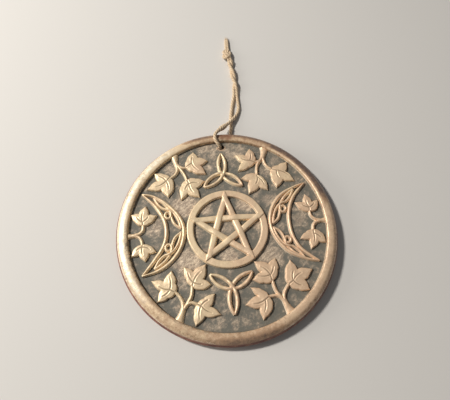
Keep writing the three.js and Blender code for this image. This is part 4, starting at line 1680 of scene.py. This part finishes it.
@dataclass(frozen=True)
class Leaf:
    """An ivy leaf: where its stem ends, its two shoulders, three tips, two notches and vein ends.

    The corners go anticlockwise from the base: shoulder, tip, notch, tip, notch, tip, shoulder.
    """

    base: tuple
    shoulders: tuple
    tips: tuple
    notches: tuple
    veins: tuple
    heart: tuple
    seed: int
    rise: float = 3.0
    edge_rise: float = 2.25
    edge_rounding: float = 1.0
    dome_reach: float = 2.8
    vein_depth: float = 0.32
    vein_half_width: float = 0.42
    vein_bow: float = 0.09
    ridge: float = 0.14
    ridge_place: float = 1.2
    ridge_half_width: float = 0.55
    tip_reach: float = 0.9
    roughness: float = 0.09
    sink: float = 0.4
    rings: int = 44
    edge_step: float = 0.33
    bows: tuple = ((0.16, 0.2), (0.22, 0.02), (-0.02, 0.16), (0.2, 0.0), (0.0, 0.2), (0.16, -0.02),
                   (0.02, 0.22), (0.2, 0.16))

    def outline(self) -> Array:
        """The leaf's edge: eight bowed pieces between the corners, the tips a little drawn out.

        A piece is a cubic curve. Its control points stand off the straight line by shares of its
        length, outward, and a little inward for the one beside a tip.

        Returns:
            The edge's points, anticlockwise, with no repeat of the first.
        """
        tips = np.array(self.tips, float)
        tips += self.tip_reach * unit(tips - self.heart)
        corners = np.array([self.base, self.shoulders[0], tips[0], self.notches[0], tips[1],
                            self.notches[1], tips[2], self.shoulders[1]], float)
        t = np.linspace(0, 1, 27)[:-1, None]
        pieces = []
        for start, end, (leaving, arriving) in zip(corners, np.roll(corners, -1, axis=0), self.bows):
            step = end - start
            out = np.array([step[1], -step[0]])
            first = start + step / 3 + leaving * out
            second = end - step / 3 + arriving * out
            pieces.append((1 - t) ** 3 * start + 3 * t * (1 - t) ** 2 * first
                          + 3 * t ** 2 * (1 - t) * second + t ** 3 * end)
        line = evenly(np.vstack([*pieces, pieces[0][:1]]), self.edge_step)[:-1]
        run = np.arange(len(line)) * self.edge_step
        return line + unit(line - self.heart) * wander(run, self.seed, 11, 0.12)[:, None]

    def vein_lines(self) -> tuple[Array, Array]:
        """Starts and ends of the straight pieces of the veins.

        One vein goes from the base to the heart. The others are arcs from the heart, which bow away
        from the middle tip.

        Returns:
            Both, m by 2.
        """
        middle = np.subtract(self.tips[1], self.heart)
        share = np.linspace(0, 1, 7)[:, None]
        lines = [np.array([self.base, self.heart], float)]
        for step in np.subtract(self.veins, self.heart):
            side = np.sign(middle[0] * step[1] - middle[1] * step[0])
            out = side * np.array([-step[1], step[0]])
            lines.append(self.heart + share * step + 4 * self.vein_bow * share * (1 - share) * out)
        return np.vstack([line[:-1] for line in lines]), np.vstack([line[1:] for line in lines])

    def veining(self, places: Array) -> tuple[Array, Array]:
        """Share of the veins' depth and of the ridges beside them.

        Args:
            places: array of n by 2.

        Returns:
            Both shares, n each: a bell of the distance from the nearest vein, which fades outward.
        """
        from_vein = distance_to_lines(places, *self.vein_lines())
        away = np.hypot(*(places - self.heart).T)
        longest = np.hypot(*np.subtract(self.veins, self.heart).T).max()
        fade = ease(away, longest * 1.05, longest * 0.55) * 0.5 + 0.5
        groove = np.exp(-(from_vein / self.vein_half_width) ** 2) * fade
        ridge = np.exp(-((from_vein - self.ridge_place) / self.ridge_half_width) ** 2) * fade
        return groove, ridge

    def height(self, places: Array, edge: Array) -> Array:
        """Height of the leaf's top.

        With d the distance from the edge, the height is a quarter circle up to edge_rise, then
        climbs to rise as 1 - exp(-d / dome_reach). A vein takes vein_depth away as a bell of the
        distance from its line, and a low ridge stands beside it.

        Args:
            places: array of n by 2.
            edge: distance from the leaf's edge, n.

        Returns:
            The heights, n.
        """
        turn = np.clip(edge / self.edge_rounding, 0, 1)
        groove, ridge = self.veining(places)
        rough = value_noise(*places.T, 3.4, self.seed) * self.roughness
        return (self.edge_rise * np.sqrt(1 - (1 - turn) ** 2)
                + (self.rise - self.edge_rise) * (1 - np.exp(-edge / self.dome_reach))
                + ease(edge, 0.3, 1.2) * (self.ridge * ridge - self.vein_depth * groove + rough))

    def shell(self) -> Shell:
        """The leaf as rings from below its edge, up and in to its heart.

        Returns:
            The leaf's shell.
        """
        line = self.outline()
        share = 1 - np.linspace(0, 1, self.rings)[:-1] ** 1.7
        places = (self.heart + share[:, None, None] * (line - self.heart)).reshape(-1, 2)
        edge = distance_to_lines(places, line, np.roll(line, -1, axis=0))
        edge[:len(line)] = 0
        top = np.column_stack([places, self.height(places, edge)]).reshape(len(share), -1, 3)
        foot = np.column_stack([line + (self.heart - line) * 0.01, np.full(len(line), -self.sink)])
        middles = [[*self.heart, -self.sink], [*self.heart, self.rise - self.vein_depth]]
        return carried(np.concatenate([foot[None], top]), middles)


@dataclass(frozen=True)
class Stem:
    """A stem: the points it passes and the widths along it."""

    route: tuple
    widths: tuple
    rise: float = 2.5

    def shell(self, seed: int) -> Shell:
        """The stem's rounded band, its width going straight from one given width to the next.

        Args:
            seed: what fixes its unevenness.

        Returns:
            The stem's shell.
        """
        path = spline(self.route, 0.5)
        run = run_along(path)
        half = np.interp(run / run[-1], np.linspace(0, 1, len(self.widths)), self.widths) / 2
        half = half + wander(run, seed, 9, 0.06)
        return Section(squareness=2.4).sweep(path, half, self.rise + wander(run, seed + 1, 13, 0.08))


@dataclass(frozen=True)
class Sprig(Motif):
    """An ivy sprig whose root grows out of the rim's inner wall."""

    leaves: tuple
    stems: tuple
    seed: int
    crease: ClassVar[float] = 50

    def shells(self) -> list[Shell]:
        """The leaves and the stems."""
        stems = [stem.shell(self.seed + 2 * number) for number, stem in enumerate(self.stems)]
        return [leaf.shell() for leaf in self.leaves] + stems

    def store(self, mesh: Mesh) -> None:
        """Stores how deep each point on the leaves' tops lies in a vein.

        Args:
            mesh: the sprig's mesh.
        """
        places = mesh_points(mesh)
        on_top = ease(places[:, 2], FIELD_HEIGHT + 1.2, FIELD_HEIGHT + 2)
        grooves = np.max([leaf.veining(places[:, :2])[0] for leaf in self.leaves], axis=0)
        paint_values(mesh, groove=grooves ** 1.6 * on_top)


SPRIGS = (
    Sprig("upper_left_ivy", "ivy_upper_left", seed=200, leaves=(
        Leaf((-49.5, 54), ((-55.5, 57.6), (-46.6, 44.5)), ((-64.3, 58.3), (-71.3, 42.7), (-52, 34)),
             ((-62.3, 51), (-58.5, 41.2)), ((-59.8, 55.2), (-62.7, 44.7), (-51.4, 41.1)), (-53.4, 49.9), 1),
        Leaf((-35, 63), ((-28.5, 57.8), (-34, 70.5)), ((-16, 55.3), (-14, 69.2), (-27, 79)),
             ((-20.3, 64.3), (-22.7, 73.3)), ((-27.9, 73.4), (-23.4, 59.8)), (-28.6, 67), 2),
        Leaf((-34.2, 50.6), ((-40, 44.5), (-25.5, 51)), ((-40, 30.3), (-23.2, 32), (-18.2, 47.5)),
             ((-34, 35.6), (-25.3, 40.7)), ((-35.9, 40.2), (-28.8, 36.9), (-24.3, 46)), (-32.2, 45.5), 3),
    ), stems=(
        Stem(((-46.6, 79.4), (-45.9, 77.4), (-44.6, 70.5), (-43, 65)), (10, 6.4, 4.2, 4)),
        Stem(((-43.6, 66.5), (-42.9, 60.8), (-45.5, 56), (-50, 52.9)), (3, 2.6)),
        Stem(((-42.2, 65.5), (-38.8, 60.2), (-36, 55), (-34.2, 49.6)), (2.8, 2.3)),
        Stem(((-43, 66.8), (-39, 63.6), (-33.6, 62.8)), (3, 2.6)),
    )),
    Sprig("upper_right_ivy", "ivy_upper_right", seed=220, leaves=(
        Leaf((32, 64.2), ((32.3, 71.5), (25, 59)), ((27.7, 79), (13.3, 72.8), (14.8, 56)),
             ((23.3, 72.3), (18.7, 64.7)), ((28.4, 73.8), (19.1, 68.8)), (27, 66), 4),
        Leaf((32, 51.3), ((25, 52.7), (39.3, 45)), ((17.3, 47.8), (23, 32), (40.5, 34.8)),
             ((24, 44.4), (32.8, 37.8)), ((38, 40), (30.4, 41.2)), (32.5, 48.2), 5),
        Leaf((46.2, 56.2), ((45.4, 48.5), (53.5, 59.6)), ((49.4, 36.7), (66.7, 42.7), (61.9, 62.1)),
             ((56.3, 43.6), (60.3, 52.3)), ((52.4, 46.5), (62.6, 47.6)), (51.5, 53.8), 6),
    ), stems=(
        Stem(((43.2, 81.4), (42.4, 79), (40.8, 73), (39, 67.5)), (11, 6.6, 4.6, 4)),
        Stem(((39.8, 70), (36.5, 65.8), (31, 64.4)), (3.2, 2.6)),
        Stem(((38.6, 68), (34.2, 62.5), (32.6, 57), (32.1, 50.3)), (3, 2.4)),
        Stem(((39.6, 69), (41, 62.5), (43.6, 58.3), (47, 55.7)), (3, 2.6)),
    )),
    Sprig("left_ivy", "ivy_left", seed=240, leaves=(
        Leaf((-75, 7.2), ((-69.5, 8.8), (-82, 10.6)), ((-63.2, 16), (-72.6, 25.8), (-85.5, 18)),
             ((-70.2, 17.9), (-79, 19.6)), ((-75.1, 19.4), (-80.2, 15.3), (-70.4, 15)), (-75.4, 11), 7),
        Leaf((-75.6, -9.8), ((-82, -12.2), (-69.5, -10.8)), ((-84.9, -20.4), (-73.4, -24.8), (-64, -17.3)),
             ((-78.8, -19.3), (-69.9, -18.6)), ((-80.3, -15), (-75, -19.2), (-69, -14.8)), (-75.4, -12.3), 8),
    ), stems=(
        Stem(((-90, -1.4), (-84, -1.2), (-80.6, -0.6)), (6, 3.6, 3.2)),
        Stem(((-83, -1), (-77.6, 0.8), (-75.3, 3.8), (-74.9, 8)), (3.2, 3)),
        Stem(((-83, -1.3), (-78.6, -3), (-76.6, -6), (-75.6, -10.6)), (2.8, 2.3)),
    )),
    Sprig("right_ivy", "ivy_right", seed=250, leaves=(
        Leaf((76.3, 10.4), ((82.6, 11.8), (69, 12.3)), ((85, 21), (74.5, 27.2), (64.2, 20)),
             ((80, 19.8), (71.5, 19.8)), ((74.6, 21.2), (70.6, 17.2), (81.4, 18)), (76.4, 14), 9),
        Leaf((76.6, -6.6), ((69.5, -9), (83.5, -10)), ((64.3, -14.9), (72.3, -24.2), (85.8, -19.3)),
             ((72.1, -15.8), (80, -18.6)), ((75.6, -18.8), (82, -14.8)), (76.5, -10.8), 10),
    ), stems=(
        Stem(((90, 1.4), (84.5, 1.4), (82, 1.5)), (5.4, 3.2, 2.8)),
        Stem(((84.5, 1.6), (79.3, 3.6), (76.6, 7), (76.2, 11.2)), (2.8, 2.4)),
        Stem(((84.5, 1.2), (79.3, -0.6), (77.3, -3.4), (76.6, -7.4)), (2.8, 2.6)),
    )),
    Sprig("lower_left_ivy", "ivy_lower_left", seed=260, leaves=(
        Leaf((-47.5, -53.6), ((-47.5, -45.5), (-54.5, -58)), ((-50.7, -35), (-67.8, -42.5), (-62.8, -60.3)),
             ((-57.8, -43), (-60.7, -51)), ((-52.3, -40.2), (-61, -47.8), (-58.6, -56)), (-52.3, -50.9), 11),
        Leaf((-33.8, -49.8), ((-26.5, -52.8), (-38.7, -43)), ((-17.9, -49), (-21.2, -31.6), (-40, -32.6)),
             ((-23.8, -44), (-32.3, -36.6)), ((-36.6, -38.2), (-25.9, -37.7), (-26, -48.2)),
             (-32.4, -46.3), 12),
        Leaf((-30.3, -64.2), ((-33.3, -72), (-24.5, -59.8)), ((-32, -81.2), (-11.3, -74), (-15.3, -57)),
             ((-24.3, -74.8), (-19, -67)), ((-21, -61.6), (-18.4, -72.2), (-28.6, -76.4)), (-26.9, -66), 13),
    ), stems=(
        Stem(((-47.2, -79.4), (-46.1, -77), (-43.4, -71), (-41.6, -66)), (10, 6.6, 4.4, 4)),
        Stem(((-42, -67.5), (-42.4, -61.5), (-44.8, -56.6), (-48.4, -52.8)), (3, 2.5)),
        Stem(((-41.6, -67.5), (-37.6, -62), (-34.8, -57), (-33.6, -49)), (3, 2.4)),
        Stem(((-41.8, -67.5), (-38, -63.3), (-34.4, -62.7), (-29.3, -64.5)), (3, 2.4)),
    )),
    Sprig("lower_right_ivy", "ivy_lower_right", seed=280, leaves=(
        Leaf((34.5, -50.3), ((40.2, -41), (27, -51.3)), ((39.1, -30.7), (20.9, -32.2), (18, -47.7)),
             ((32.6, -34.8), (25, -41.6)), ((26.2, -37.3), (36.8, -38.2), (23.2, -44.8)), (33.2, -44.8), 14),
        Leaf((30.3, -62.5), ((25.5, -56.8), (32.5, -70)), ((15.6, -54.3), (9.9, -68), (23.5, -80.6)),
             ((20, -61.2), (21, -71.6)), ((17, -67.7), (25, -74.6)), (26.4, -65), 15),
        Leaf((47.5, -54), ((55.5, -59), (46, -44.5)), ((64.7, -59.2), (69.8, -42.3), (52, -33.3)),
             ((62.3, -51), (57.2, -41.3)), ((53.2, -43.2), (59.8, -44.9), (58.2, -55.4)), (52.2, -51), 16),
    ), stems=(
        Stem(((48.2, -79), (47, -76.6), (44, -70.5), (42.2, -65.5)), (10.5, 7, 4.6, 4)),
        Stem(((42.4, -67), (38.6, -61.6), (36.1, -57), (34.4, -49.4)), (3, 2.5)),
        Stem(((42.8, -67.5), (39, -63.2), (35, -62.1), (29.5, -62.8)), (3, 2.4)),
        Stem(((42.6, -67.5), (42.8, -62), (45, -57.4), (48.2, -53.4)), (3, 2.5)),
    )),
)


# The twine

@dataclass
class Twine:
    """The hanging twine: two strands from the hole, twisted together up to a knot with two cut ends.

    All places are in millimetres. The routes are those of the solids.
    """

    diameter: float = 2.4
    spacing: float = 2.8
    turns: float = 1.1
    twist_points: int = 14
    surface_gap: float = 0.05
    thickness: float = 3.45
    plies: int = 3
    ply_pitch: float = 10.0
    ply_offset: float = 0.4
    ply_radius: float = 0.76
    opened_at: float = 33.0
    opened_reach: float = 11.0
    opened_swell: float = 0.6
    never_along: tuple = (1.0, 0.15, 0.0)
    lowest: float = 0.02
    step: float = 0.45
    round_points: int = 30
    front_points: tuple = (
        (-0.5, 84, 7.5), (-0.5, 84, 8.8), (-0.7, 84.15, 10.7), (-1.45, 84.72, 12.55), (-2.8, 85.9, 14.1),
        (-4.2, 87.9, 14.95), (-4.95, 90.5, 15.05), (-4.95, 93.4, 14.9), (-4.1, 96.3, 14.5),
        (-2.3, 99.3, 13.5), (0.7, 103, 11.4), (4.4, 107.3, 8.6), (8.7, 112, 6), (13.4, 117.2, 3.95),
        (16.5, 121, 3), (19.6, 125.4, 2), (21.7, 129.8, 1.35), (22.6, 134.3, 1.25), (22.8, 139, 1.25),
        (22.5, 145, 1.25), (22.4, 151, 1.45))
    back_points: tuple = (
        (-0.5, 84, 7.2), (-0.45, 84.03, 5.9), (-0.2, 84.35, 4.4), (0.35, 85.2, 2.9), (1.3, 86.6, 1.8),
        (2.9, 88.9, 1.3), (5.6, 92.9, 1.25), (8.7, 97.4, 1.25), (11.4, 102.8, 1.25), (12.8, 109.5, 1.25),
        (13.3, 117.7, 1.25), (14.1, 126.3, 1.25), (15.7, 135, 1.25), (17.4, 142.8, 1.25),
        (19.2, 150.4, 1.45))
    pair_points: tuple = (
        (21.1, 157.3, 2.4), (21.3, 163.5, 2.65), (20.9, 170.3, 2.65), (20.3, 177.1, 2.65),
        (19.4, 184.8, 2.65), (19, 191.1, 2.65), (18.7, 197.4, 2.9))
    knot_middle: tuple = (16.8, 205.2, 3.3)
    knot_points: tuple = (
        (1.9, -8.4, -0.4), (1.5, -6.6, 0.1), (0.6, -4.2, 1.1), (-1.5, -0.9, 1.8), (-3.1, 2.3, 0.8),
        (-2.4, 4.9, -0.7), (0.1, 5.3, -1.4), (1.6, 2.7, -0.6), (1.3, -1.1, 0.8), (-0.9, -4.1, 1.8),
        (-3.3, -3.7, 0.4), (-3.1, -0.5, -1.2), (-1, 2.8, -1), (0, 5.8, 0), (-0.1, 8.2, -1))
    knot_strand: float = 3.0
    knot_spacing: float = 2.3
    tail_points: tuple = ((16.7, 212.2, 2.1), (17, 220.9, 1.5), (17.3, 229.2, 1.35))
    tail_thickness: float = 3.1
    tail_spacing: float = 2.0
    tail_spread: float = -0.1
    fuzz_seed: int = 7
    fuzz_start: float = 105.0
    fuzz_count: int = 260
    fuzz_depth: float = 0.42
    fray_count: int = 60
    fray_spread: tuple = (0.45, 0.5, 0.35)
    fray_setback: float = 0.9

    def route(self, points: Sequence[Point], side: int) -> Array:
        """A strand's own points and its part of the twisted pair.

        Args:
            points: the strand's points up to the pair.
            side: 1 or -1, the side of the pair's middle line on which it starts.

        Returns:
            The points that the strand passes through.
        """
        middle = spline(self.pair_points, 0.2)
        run = run_along(middle)
        share = np.linspace(0, 1, self.twist_points + 1)
        place = np.column_stack([np.interp(share, run / run[-1], column) for column in middle.T])
        angle = share * self.turns * 2 * np.pi
        place[:, 0] += side * self.spacing / 2 * np.cos(angle)
        place[:, 2] += side * self.spacing / 2 * np.sin(angle)
        place[:, 2] = np.maximum(place[:, 2], self.diameter / 2 + self.surface_gap)
        return np.vstack([points, place])

    def strand(self, name: str, line: Array, diameter: float, seed: int, closed_ends: float = 0.35,
               swell: float = 0.0) -> Object:
        """A laid strand of twine along a line.

        Its outline at each place is that of three touching yarns: from the middle at an angle a to
        the nearest yarn the surface lies at e cos a + sqrt(r squared - e squared sin squared a),
        and the yarns wind round once each pitch.

        Args:
            name: the object's name.
            line: points that the strand follows, evenly spaced.
            diameter: its thickness.
            seed: what fixes its unevenness.
            closed_ends: length over which the ends draw in, as a share of the diameter.
            swell: how much thicker it is where its lay has opened, as a share.

        Returns:
            The object, with its UV map and the depth between the yarns stored as groove.
        """
        tangent = unit(np.gradient(line, axis=0))
        side = unit(np.cross(tangent, self.never_along))
        up = np.cross(side, tangent)
        run = run_along(line)
        around = np.arange(self.round_points) * 2 * np.pi / self.round_points
        lay = 2 * np.pi * run / self.ply_pitch + wander(run, seed, 40, 0.5)
        sector = 2 * np.pi / self.plies
        from_yarn = (around[None, :] - lay[:, None] + sector / 2) % sector - sector / 2
        scale = diameter / 2 / (self.ply_offset + self.ply_radius)
        e, r = self.ply_offset * scale, self.ply_radius * scale
        out = e * np.cos(from_yarn) + np.sqrt(r ** 2 - (e * np.sin(from_yarn)) ** 2)
        depth = 1 - out / out.max()
        opened = swell * bump(run - self.opened_at, self.opened_reach)
        out *= (1 + wander(run, seed + 1, 17, 0.06) + opened)[:, None]
        ends = np.minimum(run, run[-1] - run) / (closed_ends * diameter)
        out *= np.sqrt(np.clip(1 - (1 - np.clip(ends, 0, 1)) ** 2, 0.04, 1))[:, None]
        points = line[:, None] + out[:, :, None] * circle_round(side, up, around)
        points[:, :, 2] = np.maximum(points[:, :, 2], self.lowest)
        mesh = new_mesh(name, carried(points))
        # The depth between the yarns, stored as groove, is painted as shade by the finish.
        paint_values(mesh, groove=np.append(depth / depth.max(), [0, 0]))
        self.unwrap(mesh, np.repeat(run, self.round_points), np.tile(around / (2 * np.pi), len(run)))
        smooth(mesh, 60)
        return new_object(name, mesh)

    @staticmethod
    def unwrap(mesh: Mesh, along: Array, around: Array) -> None:
        """UV map of a strand: metres along it and the share round it, mirrored half way round.

        Args:
            mesh: the strand's mesh, whose last two vertices are the middles of its ends.
            along: distance along the strand of each other vertex, in millimetres.
            around: share round it of each other vertex.
        """
        corner = np.zeros(len(mesh.loops), np.int32)
        mesh.loops.foreach_get("vertex_index", corner)
        along = np.append(along, [along.min(), along.max()])
        around = np.append(np.abs(around - 0.5) * 2, [0, 0])
        uv = np.column_stack([along[corner] * MM, around[corner]])
        mesh.uv_layers.new(name="UVMap").data.foreach_set("uv", uv.astype(np.float32).ravel())

    def knot(self) -> Object:
        """The overhand knot: the two strands side by side along one knotted line.

        Returns:
            The knot as one object.
        """
        line = spline(np.add(self.knot_points, self.knot_middle), self.step)
        beside = unit(np.cross(unit(np.gradient(line, axis=0)), [0, 0, 1.0]))
        halves = [self.strand(f"knot_{k}", line + beside * offset, self.knot_strand, 30 + k)
                  for k, offset in enumerate((-self.knot_spacing / 2, self.knot_spacing / 2))]
        return join_objects("twine_knot_tied", halves)

    def tail_route(self, side: int) -> Array:
        """The points that the cut end on side 1 or -1 passes through."""
        return np.array([(x + side * (self.tail_spacing / 2 + self.tail_spread * k), y, z)
                         for k, (x, y, z) in enumerate(self.tail_points)])

    def tail(self, name: str, side: int) -> Object:
        """A cut end beyond the knot, on side 1 or -1."""
        line = spline(self.tail_route(side), self.step)
        return self.strand(name, line, self.tail_thickness, 50 + side, closed_ends=0.8)

    def fuzz(self, lines: Sequence[Array]) -> Object:
        """Loose fibres that stand off the strands, each a thin bent needle.

        A fibre starts on the surface, and leaves outward and at a slant along the strand.

        Args:
            lines: the strands' lines.

        Returns:
            All fibres as one object.
        """
        random = np.random.default_rng(self.fuzz_seed)
        count = self.fuzz_count
        every = np.concatenate([line[2:-2] for line in lines])
        heading = unit(np.concatenate([np.gradient(line, axis=0)[2:-2] for line in lines]))
        pick = random.integers(0, len(every), count)
        start, along = every[pick], heading[pick]
        out = random.normal(size=(count, 3))
        out = unit(out - (out * along).sum(1)[:, None] * along)
        length = random.uniform(1.5, 5.0, count) * np.where(random.random(count) < 0.15, 1.5, 1)
        slant = random.uniform(-1.0, 1.0, count)[:, None]
        start = start + out * self.diameter * self.fuzz_depth
        return needles("twine_fuzz", start, along * slant + out * 0.55, out, length, random)

    def fray(self, ends: Sequence[Array]) -> Object:
        """Fibres that spread from the cut ends.

        Args:
            ends: the end point of each tail.

        Returns:
            All fibres as one object.
        """
        random = np.random.default_rng(self.fuzz_seed + 1)
        start = np.repeat(np.array(ends), self.fray_count, axis=0)
        count = len(start)
        start = start + random.normal(size=start.shape) * self.fray_spread
        aim = np.column_stack([
            random.normal(size=count) * 0.34, np.ones(count), random.normal(size=count) * 0.12])
        out = random.normal(size=(count, 3))
        length = random.uniform(1.2, 3.6, count)
        return needles("twine_fray", start - [0, self.fray_setback, 0], aim, out, length, random)

    def build(self, coat: Coat) -> None:
        """Makes the strands, the knot, the cut ends and the loose fibres.

        Args:
            coat: their finish.
        """
        front_line = spline(self.route(self.front_points, 1), self.step)
        back_line = spline(self.route(self.back_points, -1), self.step)
        front = self.strand("front_strand", front_line, self.thickness, 11, swell=self.opened_swell)
        back = self.strand("back_strand", back_line, self.thickness, 21)
        knot = self.knot()
        front_tail = self.tail("front_tail", 1)
        back_tail = self.tail("back_tail", -1)
        fuzz = self.fuzz([line[line[:, 1] > self.fuzz_start] for line in (front_line, back_line)])
        fray = self.fray([self.tail_route(side)[-1] for side in (1, -1)])
        coat.dress(front, "twine_front_strand")
        coat.dress(back, "twine_back_strand")
        coat.dress(knot, "twine_knot")
        coat.dress(front_tail, "twine_tail_front")
        coat.dress(back_tail, "twine_tail_back")
        coat.dress(fuzz)
        coat.dress(fray)


def needles(name: str, start: Array, aim: Array, bend: Array, length: Array,
            random: np.random.Generator) -> Object:
    """Thin three-sided fibres that taper to a point and curl.

    At a share t of its length a fibre lies at start + t length aim + 0.6 t squared length curl.

    Args:
        name: the object's name.
        start: where each fibre starts, n by 3.
        aim: the direction in which it leaves.
        bend: the direction towards which it bends.
        length: its length.
        random: draws the curls.

    Returns:
        All fibres as one object.
    """
    rows, sides, thick, taper, lowest = 7, 3, 0.07, 0.75, 0.15
    t = np.linspace(0, 1, rows)
    aim = unit(aim)
    curl = random.normal(size=(len(start), 3)) * 0.5 + bend * 0.3
    reach = length[:, None, None]
    line = start[:, None] + (aim[:, None] * t[:, None] + curl[:, None] * (t ** 2)[:, None] * 0.6) * reach
    line[:, :, 2] = np.maximum(line[:, :, 2], lowest)
    side = unit(np.cross(aim, [0.3, 0.2, 1.0]))
    up = np.cross(side, aim)
    around = np.arange(sides) * 2 * np.pi / sides
    wide = thick * (1 - taper * t)
    places = line[:, :, None] + circle_round(side, up, around)[:, None] * wide[:, None, None]
    mesh = new_mesh(name, merged([carried(fibre) for fibre in places]))
    smooth(mesh, 120)
    return new_object(name, mesh)


def join_objects(name: str, parts: Sequence[Object]) -> Object:
    """Joins objects into the first and renames it.

    Args:
        name: the new name.
        parts: the objects.

    Returns:
        The joined object.
    """
    with bpy.context.temp_override(active_object=parts[0], selected_editable_objects=list(parts)):
        bpy.ops.object.join()
    parts[0].name = name
    return parts[0]


def main() -> None:
    """Builds the studio and the object."""
    logging.basicConfig(level=logging.INFO, format="%(name)s: %(message)s")
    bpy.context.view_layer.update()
    Studio().build()
    bronze = Coat(WornBronze().material(), Slot.RELIEF, PLAQUE)
    rubbed = Coat(RubbedField().material(), Slot.FIELD, PLAQUE)
    jute = Coat(Jute().material(), Slot.TWINE, TWINE)
    Twine().build(jute)
    motifs = (*PENTACLE, *CRESCENTS, *TRIQUETRAS, *SPRIGS)
    relief = np.concatenate([motif.build(bronze) for motif in motifs])
    Rim().build(bronze)
    Ground().build(rubbed, relief)


if __name__ == "__main__":
    main()
